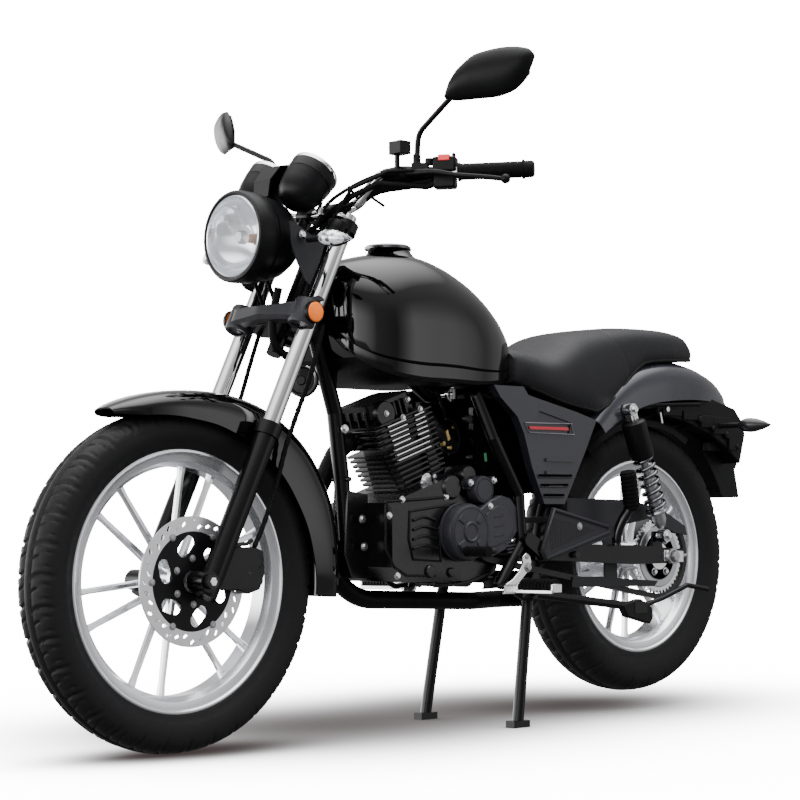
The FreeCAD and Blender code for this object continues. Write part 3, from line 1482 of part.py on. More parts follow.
def carburettor():
    """Carburettor body with its inlet stub and float bowl."""
    up = V(sin(radians(cylinder_tilt)), 0, cos(radians(cylinder_tilt)))
    ahead = V(up.z, 0, -up.x)
    face = V(cylinder_x, 0, cylinder_z) + up * (cylinder_foot + cylinder_h + head_h * 0.5) - ahead * (head_l / 2)
    face = face - ahead * seat_gap
    body_start = face - V(carburettor_l * 0.3, 0, carburettor_r * 0.4)
    flange = rod(face, face - ahead * (carburettor_r * 0.6), carburettor_r * 0.8)
    stub = rod(face - ahead * (carburettor_r * 0.6), body_start, carburettor_r * 0.75)
    body = rod(body_start, body_start - V(carburettor_l * 0.55, 0, 0), carburettor_r)
    middle = body_start - V(carburettor_l * 0.28, 0, 0)
    bowl = rod(middle, middle - V(0, 0, carburettor_r * 2.1), carburettor_r * 0.8)
    top = rod(middle, middle + V(0, 0, carburettor_r * 1.15), carburettor_r * 0.75)
    rear = V(box_front_x + seat_gap, 0, cover_low_z + cover_h * 0.50)
    hose = rod(body_start - V(carburettor_l * 0.4, 0, 0), rear, carburettor_r * 0.85)
    end = block(V(0, -cover_inner_y, 0), V(rear.x, cover_inner_y, body_start.z * 2))
    return fused([flange, stub, body, bowl, top, hose]).cut(end)


# Exhaust

def exhaust_pipe():
    """From the head's front port, down past the frame and back to the muffler."""
    port = head_port_point()
    ahead = V(cos(radians(cylinder_tilt)), 0, -sin(radians(cylinder_tilt)))
    start = port + ahead * seat_gap
    low_z = case_low_z - pipe_r * 1.9
    start_of_can, can_way, _ = muffler_line()
    y = -case_half_w * 0.62
    points = [start, start + ahead * (pipe_r * 0.9), V(downtube_points()[1][0] - pipe_r,
                                                       -downtube_r - pipe_r * 1.3,
                                                       start.z - pipe_r * 1.4),
              V(wheelbase * 0.683, y, case_low_z + case_h * 0.95),
              V(wheelbase * 0.678, y, case_low_z + case_h * 0.30),
              V(wheelbase * 0.610, y, low_z),
              V(wheelbase * 0.34, y, low_z - pipe_r * 0.7),
              V(wheelbase * 0.26, y - pipe_r * 1.7, low_z - pipe_r * 0.7),
              V(wheelbase * 0.092, y - pipe_r * 1.7, muffler_front_z - muffler_r * 0.6),
              start_of_can - can_way * (muffler_r * 1.2), start_of_can]
    return pipe(points, pipe_r)


def muffler_line():
    """Front end, direction and length of the muffler."""
    start = V(muffler_front_x, muffler_y, muffler_front_z)
    way = V(muffler_rear_x, muffler_y, muffler_rear_z) - start
    length = way.Length
    return start, way.normalize(), length


def muffler():
    """A tapered can that rises to the rear, open at its tip."""
    start, way, length = muffler_line()
    r = muffler_r
    profile = [(0, seat_gap), (pipe_r * 1.3, seat_gap), (r * 0.8, length * 0.12), (r, length * 0.25),
               (r, length * 0.93), (r * 0.92, length), (pipe_r, length), (pipe_r, length * 0.85),
               (0, length * 0.85)]
    return turned(profile, start, way)


# Swingarm, rear axle, shocks and chain

def swingarm():
    """Two box arms on a pivot tube, with slotted ends for the axle."""
    parts = [across(pivot_x, pivot_z, pivot_tube_r, -arm_y - arm_w / 2, arm_y + arm_w / 2)]
    tip = -arm_h * 1.1
    for side in SIDES:
        low = side * arm_y - arm_w / 2
        arm = slab([(pivot_x + pivot_tube_r, pivot_z - arm_h * 0.4),
                    (pivot_x + pivot_tube_r, pivot_z + arm_h * 0.4),
                    (pivot_x * 0.3, rear_axle_z + arm_h * 0.62), (tip, rear_axle_z + arm_h * 0.36),
                    (tip, rear_axle_z - arm_h * 0.36), (pivot_x * 0.3, rear_axle_z - arm_h * 0.38)],
                   low, low + arm_w)
        lug = slab([(shock_foot_x - shock_eye_r * 1.6, rear_axle_z),
                    (shock_foot_x + shock_eye_r * 1.6, rear_axle_z),
                    (shock_foot_x + shock_eye_r * 0.8, shock_foot_z + shock_eye_r * 0.7),
                    (shock_foot_x - shock_eye_r * 0.8, shock_foot_z + shock_eye_r * 0.7)],
                   side * arm_y - arm_w * 0.15, side * arm_y + arm_w * 0.15)
        inner = side * arm_y
        outer = side * (shock_y - shock_eye_r * 0.7)
        pin = across(shock_foot_x, shock_foot_z, shock_eye_r * 0.6, min(inner, outer), max(inner, outer))
        parts += [arm, lug, pin]
    bridge = across(pivot_x - rear_tyre_r * 0.28, pivot_z, pivot_tube_r * 0.9, -arm_y, arm_y)
    parts.append(bridge)
    holes = [across(x, z, rear_axle_r + fit, -arm_y * 2, arm_y * 2)
             for x, z in ((0, rear_axle_z), (pivot_x, pivot_z))]
    return drilled(fused(parts), holes)


def rear_axle():
    """The rear spindle with spacers, head and nut."""
    left = chain_y + sprocket_thick / 2 + seat_gap
    right = drum_y + seat_gap
    panel = drum_y + run_clear
    panel_w = sprocket_seat_w / 2
    inner = arm_y - arm_w / 2 - seat_gap
    outer = arm_y + arm_w / 2 + seat_gap
    profile = [(0, -outer - axle_nut_h), (axle_nut_r, -outer - axle_nut_h), (axle_nut_r, -outer),
               (rear_axle_r, -outer), (rear_axle_r, -inner), (axle_nut_r, -inner),
               (axle_nut_r, -panel - panel_w),
               (drum_r * 0.96, -panel - panel_w), (drum_r, -panel), (axle_nut_r, -panel),
               (axle_nut_r, -right),
               (rear_axle_r, -right), (rear_axle_r, left), (axle_nut_r, left), (axle_nut_r, inner),
               (rear_axle_r, inner), (rear_axle_r, outer), (axle_nut_r, outer),
               (axle_nut_r, outer + axle_nut_h), (0, outer + axle_nut_h)]
    return turned(profile, V(0, 0, rear_axle_z), V(0, 1, 0))


def shock_ends():
    return V(shock_top_x, shock_y, shock_top_z), V(shock_foot_x, shock_y, shock_foot_z)


def shock_absorbers():
    """Top cover, ringed spring and lower body, with an eye at each end."""
    def one():
        top, foot = shock_ends()
        way = foot - top
        length = way.Length
        way.normalize()
        cover = shock_cover_r
        profile = [(0, shock_eye_r * 0.8), (cover * 0.7, shock_eye_r), (cover, shock_eye_r * 2),
                   (cover, length * 0.42), (shock_body_r, length * 0.42)]
        coil_start = length * 0.44
        pitch = (length * 0.76 - coil_start) / shock_coils
        for i in range(shock_coils):
            at = coil_start + pitch * i
            profile += [(shock_body_r, at), (shock_spring_r, at + pitch * 0.25),
                        (shock_spring_r, at + pitch * 0.55), (shock_body_r, at + pitch * 0.8)]
        profile += [(shock_spring_r * 1.05, length * 0.77), (shock_spring_r * 1.05, length * 0.79),
                    (shock_body_r, length * 0.80), (shock_body_r, length - shock_eye_r),
                    (0, length - shock_eye_r * 0.8)]
        body = turned(profile, top, way)
        eyes = [across(p.x, p.z, shock_eye_r, shock_y - shock_eye_r * 0.7 + seat_gap,
                       shock_y + shock_eye_r * 0.7)
                for p in (top, foot)]
        return fused([body] + eyes)
    return both_sides(one)


def chain_loop(grow):
    """Side view of a belt round both chain wheels, as a face."""
    front = V(sprocket_x, 0, sprocket_z)
    rear = V(0, 0, rear_axle_z)
    parts = []
    r1 = front_sprocket_r + grow
    r2 = rear_sprocket_r + grow
    way = rear - front
    gap = way.Length
    way.normalize()
    side = V(-way.z, 0, way.x)
    lean_share = (r1 - r2) / gap
    rise = (1 - lean_share * lean_share) ** 0.5
    corners = []
    for sign in SIDES:
        normal = way * lean_share + side * (sign * rise)
        pair = [front + normal * r1, rear + normal * r2]
        corners += pair if sign == LEFT else list(reversed(pair))
    low = chain_y - chain_w / 2
    high = chain_y + chain_w / 2
    parts.append(slab([(p.x, p.z) for p in corners], low, high))
    parts.append(across(front.x, front.z, r1, low, high))
    parts.append(across(rear.x, rear.z, r2, low, high))
    return fused(parts)


def chain():
    """The drive chain as one fixed loop."""
    loop = chain_loop(chain_inner + chain_h).cut(chain_loop(chain_inner))
    return loop


def front_sprocket():
    """The small chain wheel on the gearbox shaft."""
    wheel = across(sprocket_x, sprocket_z, front_sprocket_r, chain_y - sprocket_thick / 2,
                   chain_y + sprocket_thick / 2)
    shaft = across(sprocket_x, sprocket_z, rear_axle_r, case_half_w + seat_gap, chain_y + sprocket_thick)
    return fused([wheel, shaft])


def chain_guards():
    """The triangle outside the arm, the plate over the chain and the bar under it."""
    inner = arm_y + arm_w / 2 + gusset_thick + seat_gap * 2
    triangle = slab(spread(triangle_shares, (0, rear_axle_z), (pivot_x, arm_h)), inner, inner + gusset_thick)
    stud = across(pivot_x * 0.76, rear_axle_z + arm_h * 0.2, peg_r * 0.5, arm_y + arm_w / 2 + seat_gap,
                  inner + gusset_thick)
    face = arm_y - arm_w / 2 - seat_gap
    over = slab(spread(over_chain_shares, (0, rear_axle_z), (pivot_x, arm_h)), face - guard_thick, face)
    under = slab(spread(under_chain_shares, (0, rear_axle_z), (pivot_x, arm_h)), face - guard_thick, face)
    return Part.makeCompound([fused([triangle, stud]), fused([over, under])])


# Foot controls

def rider_pegs():
    """Folding pegs: a round bar with a rubber sleeve and a plate bracket."""
    def one():
        bar = across(peg_x, peg_z, peg_r * 0.55, 0, peg_inner_y + peg_l * 1.9)
        rubber = across(peg_x, peg_z, peg_r, peg_inner_y + peg_l * 0.9, peg_inner_y + peg_l * 1.9)
        plate = slab([(peg_x - peg_r, peg_z - peg_r), (peg_x + peg_r, peg_z - peg_r),
                      (peg_x + peg_r * 1.2, peg_z + peg_r), (peg_x - peg_r * 1.6, peg_z + peg_r * 4.2),
                      (peg_x - peg_r * 3.0, peg_z + peg_r * 4.2),
                      (peg_x - peg_r * 2.2, peg_z + peg_r * 1.4)],
                     peg_inner_y + peg_l * 0.68, peg_inner_y + peg_l * 0.68 + gusset_thick)
        return fused([bar, rubber, plate])
    return both_sides(one)


def pillion_pegs():
    """Pegs folded up against brackets on the arms."""
    def one():
        face = arm_y + arm_w / 2 + seat_gap
        y = face + peg_l * 0.36
        foot = V(pillion_x, y, pillion_z)
        top = foot + V(-pillion_peg_l * 0.05, pillion_peg_l * 0.06, pillion_peg_l)
        rubber = rod(foot, top, peg_r * 0.9)
        hinge = across(pillion_x, pillion_z - peg_r * 0.4, peg_r * 0.7, face, y + peg_r)
        plate = slab([(pillion_x + peg_r, rear_axle_z),
                      (pillion_x + peg_r * 2.4, rear_axle_z + arm_h * 0.2),
                      (pillion_x + peg_r, pillion_z + peg_r * 0.4),
                      (pillion_x - peg_r, pillion_z + peg_r * 0.4),
                      (pillion_x - peg_r * 0.6, rear_axle_z)], face, face + gusset_thick)
        return fused([rubber, hinge, plate])
    return both_sides(one)


def shift_lever():
    """The gear lever with its rubber, on the engine's left."""
    pivot = V(shift_x, sprocket_cover_y + seat_gap, shift_z)
    shaft = rod(pivot, V(shift_x, sprocket_cover_y + peg_r, shift_z), peg_r * 0.5)
    tip = V(shift_tip_x, sprocket_cover_y + peg_r, shift_tip_z)
    arm = rod(V(shift_x, sprocket_cover_y + peg_r, shift_z), tip, peg_r * 0.45)
    rubber = rod(tip - V(0, peg_r * 0.4, 0), tip + V(0, peg_l * 0.6, 0), peg_r * 0.75)
    return fused([shaft, arm, rubber])


def brake_pedal():
    """The foot brake on the right, from the peg forward to its pad."""
    y = -(peg_inner_y + peg_l * 0.35)
    eye = across(peg_x, peg_z, peg_r, y - peg_r * 0.5, y + peg_r * 0.5)
    hole = across(peg_x, peg_z, peg_r * 0.55 + fit, y - peg_r, y + peg_r)
    tip = V(shift_tip_x, y, shift_z)
    arm = pipe([V(peg_x, y, peg_z), V(peg_x + peg_l * 0.5, y, peg_z - peg_r * 0.4),
                V(shift_tip_x - peg_l * 0.3, y, shift_z - peg_r * 2.4), tip - V(0, 0, peg_r * 0.1)],
                peg_r * 0.4)
    pad = block(tip - V(peg_r * 1.4, peg_l * 0.45, peg_r * 0.3),
                tip + V(peg_r * 1.4, peg_r * 0.5, peg_r * 0.3))
    return fused([eye, arm, pad], tidy=False).cut(hole)


# Stands

def side_rest():
    """Direction of the folded side stand's leg."""
    return V(-1, 0.012, -0.114).normalize()


def side_down():
    """Direction of the side stand's leg when it is swung down."""
    return V(0.55, 0.45, -0.70).normalize()


def side_axis():
    return side_rest().cross(side_down()).normalize()


def side_stand():
    """The leg, folded along the bike, with its foot and the toe tang."""
    pivot = V(side_pivot_x, side_pivot_y, side_pivot_z)
    axis = side_axis()
    foot = pivot + side_rest() * side_leg_l
    eye = rod(pivot - axis * side_leg_r * 0.6, pivot + axis * side_leg_r * 0.6, side_leg_r * 1.45)
    leg = rod(pivot + side_rest() * side_leg_r, foot, side_leg_r * 0.82)
    pad = block(foot - V(side_leg_r * 2.6, side_leg_r * 0.8, side_leg_r * 1.2),
                foot + V(side_leg_r * 1.2, side_leg_r, side_leg_r))
    tang_start = foot - V(side_leg_r * 2, 0, 0)
    reach = side_leg_l * 0.58
    tang = pipe([tang_start, tang_start + V(-reach * 0.35, side_leg_r * 0.6, side_leg_r * 1.6),
                 tang_start + V(-reach * 0.70, side_leg_r * 1.8, side_leg_r * 4.0),
                 tang_start + V(-reach, side_leg_r * 2.8, side_leg_r * 3.0)], side_leg_r * 0.5)
    hole = rod(pivot - axis * side_leg_r * 2, pivot + axis * side_leg_r * 2, side_bolt_r + fit)
    return fused([eye, leg, pad, tang]).cut(hole)


def side_stand_bracket():
    """The lug and bolt that the side stand turns on, as parts of the frame."""
    pivot = V(side_pivot_x, side_pivot_y, side_pivot_z)
    out = side_axis() * -1
    eye = side_leg_r * 0.6 + seat_gap
    inner = pivot - out * eye
    disc = rod(inner, inner - out * (side_leg_r * 0.6), side_leg_r * 1.0)
    bolt = rod(inner - out * side_leg_r * 0.4, pivot + out * (eye + side_leg_r * 0.5), side_bolt_r)
    head = rod(pivot + out * eye, pivot + out * (eye + side_leg_r * 0.7), side_bolt_r * 1.6)
    arm = rod(inner - out * side_leg_r * 0.9, V(peg_x - side_leg_r * 0.6, strut_y,
                                                peg_z + side_leg_r * 0.9), side_leg_r * 0.8)
    return [disc, bolt, head, arm]


def centre_stand():
    """A pivot tube with two legs; ears pass round the frame lugs."""
    x = centre_pivot_x
    z = centre_pivot_z
    play = run_clear * 0.7
    parts = [across(x, z, centre_tube_r, -lug_y + play, lug_y - play)]
    for side in SIDES:
        outer = centre_leg_y + centre_leg_r
        low, high = sorted((side * (lug_y - ear_reach), side * (lug_y + lug_thick + ear_reach)))
        ear = across(x, z, ear_r, low, high)
        keep = block(V(x - ear_r * 0.9, low, z - ear_r),
                     V(x + ear_r * 0.1, high, z - centre_tube_r * 0.2))
        low, high = sorted((side * (lug_y - play), side * (lug_y + lug_thick + play)))
        room = across(x, z, lug_r + play, low, high)
        low, high = sorted((side * (lug_y + lug_thick + play), side * outer))
        parts += [ear.common(keep).cut(room), across(x, z, centre_tube_r, low, high)]
        top = V(x, side * centre_leg_y, z)
        foot = V(centre_foot_x, side * centre_foot_y, centre_leg_r)
        parts.append(rod(top + (foot - top) * 0.03, foot, centre_leg_r))
        parts.append(block(V(foot.x - centre_leg_r * 2, foot.y - centre_leg_r, 0),
                           V(foot.x + centre_leg_r * 2, foot.y + centre_leg_r, centre_leg_r * 1.2)))
    bolt = across(x, z, centre_bolt_r + fit, -centre_foot_y * 2, centre_foot_y * 2)
    return fused(parts).cut(bolt)


# Tail

def plate_holder():
    """The bracket under the tail: a sloping plate with a reflector hook."""
    top = V(tail_x, 0, tail_z)
    low = V(tail_low_x, 0, tail_low_z)
    half = plate_holder_half_w
    outline = [(top.x + plate_holder_thick * 5, top.z + plate_holder_thick * 7.88), (top.x, top.z),
               (low.x, low.z), (low.x + plate_holder_thick, low.z),
               (top.x + plate_holder_thick, top.z - plate_holder_thick)]
    outline.append((top.x + plate_holder_thick * 16, top.z - plate_holder_thick * 2))
    outline.append((top.x + plate_holder_thick * 16, top.z + plate_holder_thick * 4))
    plate = slab(outline, -half, half)
    hook_x = -tail_reach
    hook_z = tail_low_z + (tail_z - tail_low_z) / 2
    base_x = (top.x + low.x) / 2 + plate_holder_thick
    hook = slab([(base_x, hook_z + hook_hole_r * 3), (hook_x + hook_hole_r, hook_z + hook_hole_r * 1.9),
                 (hook_x, hook_z + hook_hole_r * 0.8),
                 (hook_x, hook_z - hook_hole_r * 0.8),
                 (hook_x + hook_hole_r, hook_z - hook_hole_r * 1.9), (base_x, hook_z - hook_hole_r * 3)],
                -plate_holder_thick / 2, plate_holder_thick / 2)
    hole = across(hook_x + hook_hole_r * 1.9, hook_z, hook_hole_r, -half, half)
    return fused([plate, hook.cut(hole), tail_tray(), mudguard()])


def mudguard():
    """The wedge that fills the space between the inner fender and the plate holder."""
    half = plate_holder_half_w
    top = tail_z + plate_holder_thick * 4
    outline = [(tail_x + plate_holder_thick * 18, top), (tail_x + plate_holder_thick, tail_z - plate_holder_thick),
               (tail_low_x + plate_holder_thick, tail_low_z),
               (tail_low_x + plate_holder_thick * 12, tail_low_z),
               (seat_rear_x, tail_z - plate_holder_thick * 2), (seat_rear_x, top)]
    wheel_room = across(0, rear_axle_z, inner_fender_crown_r + seat_gap * 4, -half * 2, half * 2)
    return slab(outline, -half, half).cut(wheel_room)


def tail_tray():
    """The tray under the tail, between the plate holder and the rails."""
    return block(V(tail_x + plate_holder_thick * 15, -rail_y * 0.72, shock_top_z - shock_eye_r * 2.06),
                 V(seat_rear_x + tail_tray_l * 0.1, rail_y * 0.72, shock_top_z - shock_eye_r))


def rear_signals():
    def one():
        inner = V(seat_rear_x - tail_tray_l * 0.12, rail_y * 0.72 + seat_gap,
                  shock_top_z - shock_eye_r * 1.3)
        start = V(inner.x, signal_inner_y, inner.z)
        stalk = rod(inner, start, signal_stalk_r)
        r = signal_r
        body = turned([(0, 0), (r * 0.7, signal_l * 0.08), (r, signal_l * 0.32),
                       (r * 0.8, signal_l * 0.6),
                       (r * 0.3, signal_l * 0.95), (0, signal_l)], start - V(0, r * 0.3, 0),
                       V(-0.3, 1, 0).normalize())
        return fused([stalk, body])
    return both_sides(one)


def tail_lamp():
    """The rear lamp on the holder's upper slope, just past the end of the fender."""
    slope = V(plate_holder_thick * 5, 0, plate_holder_thick * 7.88)
    outward = slope.cross(V(0, 1, 0)).normalize()
    if outward.x > 0:
        outward = outward * -1
    low = V(tail_x, -tail_lamp_half_w, tail_z) + slope * 0.08 + outward * seat_gap
    high = low + slope * 0.82
    corners = [low, high, high + outward * tail_lamp_d, low + outward * (tail_lamp_d * 0.8)]
    return slab([(point.x, point.z) for point in corners], -tail_lamp_half_w, tail_lamp_half_w)


def side_covers():
    return both_sides(cover_panel)


NODES = {
    "front_tyre": front_tyre, "front_rim": front_rim, "front_disc": front_disc,
    "rear_tyre": rear_tyre, "rear_rim": rear_rim, "rear_sprocket": rear_sprocket,
    "fork_stanchions": fork_stanchions, "fork_sliders": fork_sliders, "front_axle": front_axle,
    "brake_caliper": brake_caliper, "lower_yoke": lower_yoke, "upper_yoke": upper_yoke,
    "fork_cover": fork_cover, "fork_reflectors": fork_reflectors, "front_fender": front_fender,
    "headlamp_shell": headlamp_shell, "headlamp_lens": headlamp_lens,
    "headlamp_bracket": headlamp_bracket, "front_signals": front_signals,
    "gauge_cups": gauge_cups, "gauge_rings": gauge_rings, "gauge_glass": gauge_glass,
    "handlebar": handlebar, "grips": grips, "switch_boxes": switch_boxes, "hand_levers": hand_levers,
    "mirrors": mirrors, "cables": cables,
    "frame_front": frame_front, "frame_rear": frame_rear,
    "fuel_tank": fuel_tank, "fuel_cap": fuel_cap, "seat": seat,
    "side_covers": side_covers, "battery_box": battery_box, "rear_fender": rear_fender,
    "inner_fender": inner_fender,
    "engine_case": engine_case, "left_covers": left_covers, "right_cover": right_cover,
    "cylinder": cylinder, "cylinder_head": cylinder_head, "carburettor": carburettor,
    "exhaust_pipe": exhaust_pipe, "muffler": muffler, "swingarm": swingarm, "rear_axle": rear_axle,
    "shock_absorbers": shock_absorbers, "chain": chain, "front_sprocket": front_sprocket,
    "chain_guards": chain_guards, "rider_pegs": rider_pegs, "pillion_pegs": pillion_pegs,
    "shift_lever": shift_lever, "brake_pedal": brake_pedal, "side_stand": side_stand,
    "centre_stand": centre_stand,
    "plate_holder": plate_holder, "tail_lamp": tail_lamp, "rear_signals": rear_signals,
}


def write_parts():
    """Build every piece, move it to the common origin and write it."""
    os.makedirs("parts", exist_ok=True)
    for name, make in NODES.items():
        shape = make()
        shape.translate(V(-mid_x, 0, 0))
        shape.exportStep(os.path.join("parts", name + ".step"))


if __name__ == "__main__":
    write_parts()
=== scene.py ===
"""The looks of the cruiser motorcycle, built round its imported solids."""
from math import atan2, cos, pi, radians, sin, sqrt

import bmesh
import bpy
from mathutils import Matrix, Vector


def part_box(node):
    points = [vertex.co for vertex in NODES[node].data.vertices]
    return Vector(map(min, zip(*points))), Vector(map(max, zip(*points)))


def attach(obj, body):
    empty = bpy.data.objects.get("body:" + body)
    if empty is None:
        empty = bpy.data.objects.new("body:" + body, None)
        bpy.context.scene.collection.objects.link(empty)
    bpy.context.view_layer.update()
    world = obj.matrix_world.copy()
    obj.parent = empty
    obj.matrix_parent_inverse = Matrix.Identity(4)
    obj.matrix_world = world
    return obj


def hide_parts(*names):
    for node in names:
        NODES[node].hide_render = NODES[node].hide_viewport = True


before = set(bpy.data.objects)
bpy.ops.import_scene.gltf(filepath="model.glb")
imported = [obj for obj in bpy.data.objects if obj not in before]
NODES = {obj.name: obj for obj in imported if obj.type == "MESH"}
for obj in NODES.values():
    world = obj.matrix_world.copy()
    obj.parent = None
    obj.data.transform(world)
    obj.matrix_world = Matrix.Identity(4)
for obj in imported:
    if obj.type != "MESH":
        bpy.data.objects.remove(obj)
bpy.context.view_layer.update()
MM = 0.001
WELD = 0.000002
LEFT = Vector((0, 1, 0))
UP = Vector((0, 0, 1))
AHEAD = Vector((1, 0, 0))


def placed(name, data):
    """A new object in the scene."""
    obj = bpy.data.objects.new(name, data)
    bpy.context.scene.collection.objects.link(obj)
    return obj


# Camera

IMAGE_PX = 800
FOCAL_PX = 2041.14
SENSOR_MM = 36.0
CAMERA_AT = Vector((3.03116, 3.03887, 0.41974))
CAMERA_YAW = radians(-133.834)
CAMERA_PITCH = radians(3.496)
CAMERA_ROLL = radians(-0.312)


def add_camera():
    ahead = Vector((cos(CAMERA_PITCH) * cos(CAMERA_YAW), cos(CAMERA_PITCH) * sin(CAMERA_YAW), sin(CAMERA_PITCH)))
    level = ahead.cross(UP).normalized()
    upright = level.cross(ahead)
    right = level * cos(CAMERA_ROLL) + upright * sin(CAMERA_ROLL)
    up = upright * cos(CAMERA_ROLL) - level * sin(CAMERA_ROLL)
    data = bpy.data.cameras.new("camera")
    data.sensor_width = SENSOR_MM
    data.lens = SENSOR_MM * FOCAL_PX / IMAGE_PX
    data.clip_end = 100
    camera = placed("camera", data)
    camera.matrix_world = Matrix((
        (right.x, up.x, -ahead.x, CAMERA_AT.x),
        (right.y, up.y, -ahead.y, CAMERA_AT.y),
        (right.z, up.z, -ahead.z, CAMERA_AT.z),
        (0, 0, 0, 1)))
    bpy.context.scene.camera = camera


add_camera()

# Shader maths


class Wire:
    """A node socket that adds Math nodes when it is used in an expression."""

    def __init__(self, tree, socket):
        self.tree = tree
        self.socket = socket

    def node(self, kind, settings=(), out=0, **inputs):
        """A new node; an input is named by its label, or i and its number."""
        made = self.tree.nodes.new(kind)
        for name, value in dict(settings).items():
            if name == "stops":
                ramp = made.color_ramp
                while len(ramp.elements) > 1:
                    ramp.elements.remove(ramp.elements[0])
                ramp.elements[0].position, ramp.elements[0].color = value[0]
                for place, colour in value[1:]:
                    ramp.elements.new(place).color = colour
            else:
                setattr(made, name, value)
        for name, value in inputs.items():
            numbered = name[0] == "i" and name[1:].isdigit()
            spot = made.inputs[int(name[1:]) if numbered else name.replace("_", " ")]
            if isinstance(value, Wire):
                self.tree.links.new(value.socket, spot)
            else:
                spot.default_value = value
        return Wire(self.tree, made.outputs[out])

    def outlet(self, which):
        """Another socket of the node that this one belongs to."""
        return Wire(self.tree, self.socket.node.outputs[which])

    def maths(self, operation, first, second=0.0):
        return self.node("ShaderNodeMath", {"operation": operation}, i0=first, i1=second)

    def __add__(self, other):
        return self.maths("ADD", self, other)

    __radd__ = __add__

    def __sub__(self, other):
        return self.maths("SUBTRACT", self, other)

    def __rsub__(self, other):
        return self.maths("SUBTRACT", other, self)

    def __mul__(self, other):
        return self.maths("MULTIPLY", self, other)

    __rmul__ = __mul__

    def __truediv__(self, other):
        return self.maths("DIVIDE", self, other)

    def exponential(self):
        return self.maths("EXPONENT", self)

    def mix(self, low, high):
        return self.node("ShaderNodeMix", {"data_type": "RGBA"}, out=2, i0=self, i6=low, i7=high)


MATERIALS = {}


def material(name, colour, roughness=0.5, metallic=0.0, coat=0.0, coat_roughness=0.05, alpha=1.0, specular=0.5,
             surface=None):
    """A plain finish; surface(wire, shader) adds what changes over it."""
    made = bpy.data.materials.new(name)
    made.use_nodes = True
    tree = made.node_tree
    shader = tree.nodes["Principled BSDF"]
    for socket, value in (("Base Color", (*colour, 1.0)), ("Roughness", roughness), ("Metallic", metallic),
                          ("Coat Weight", coat), ("Coat Roughness", coat_roughness), ("Alpha", alpha),
                          ("Specular IOR Level", specular)):
        shader.inputs[socket].default_value = value
    if surface:
        surface(Wire(tree, tree.nodes.new("ShaderNodeTexCoord").outputs["Object"]), shader)
    MATERIALS[name] = made
    return made


def link(wire, shader, socket):
    wire.tree.links.new(wire.socket, shader.inputs[socket])


def grain(scale, depth, rough_low=None, rough_high=None):
    """A fine bump from noise, and an uneven gloss where two roughness values are given."""
    def surface(place, shader):
        cloud = place.node("ShaderNodeTexNoise", Vector=place, Scale=scale, Detail=4.0)
        link(place.node("ShaderNodeBump", Height=cloud, Distance=depth, Strength=0.6), shader, "Normal")
        if rough_low is not None:
            wide = place.node("ShaderNodeTexNoise", Vector=place, Scale=scale / 12, Detail=3.0)
            link(wide * (rough_high - rough_low) + rough_low, shader, "Roughness")
    return surface


FACET_STOPS = [(0.0, (0.02, 0.02, 0.025, 1)), (0.35, (0.25, 0.26, 0.28, 1)), (0.6, (0.8, 0.82, 0.86, 1))]


def facets(place, shader):
    """The cut pattern behind a clear lamp cover."""
    cells = place.node("ShaderNodeTexVoronoi", out=1, Vector=place, Scale=130.0)
    grey = cells.node("ShaderNodeSeparateXYZ", Vector=cells)
    link(grey.node("ShaderNodeValToRGB", {"stops": FACET_STOPS}, Fac=grey), shader, "Base Color")
    link(place.node("ShaderNodeBump", Height=grey, Distance=0.002, Strength=0.5), shader, "Normal")


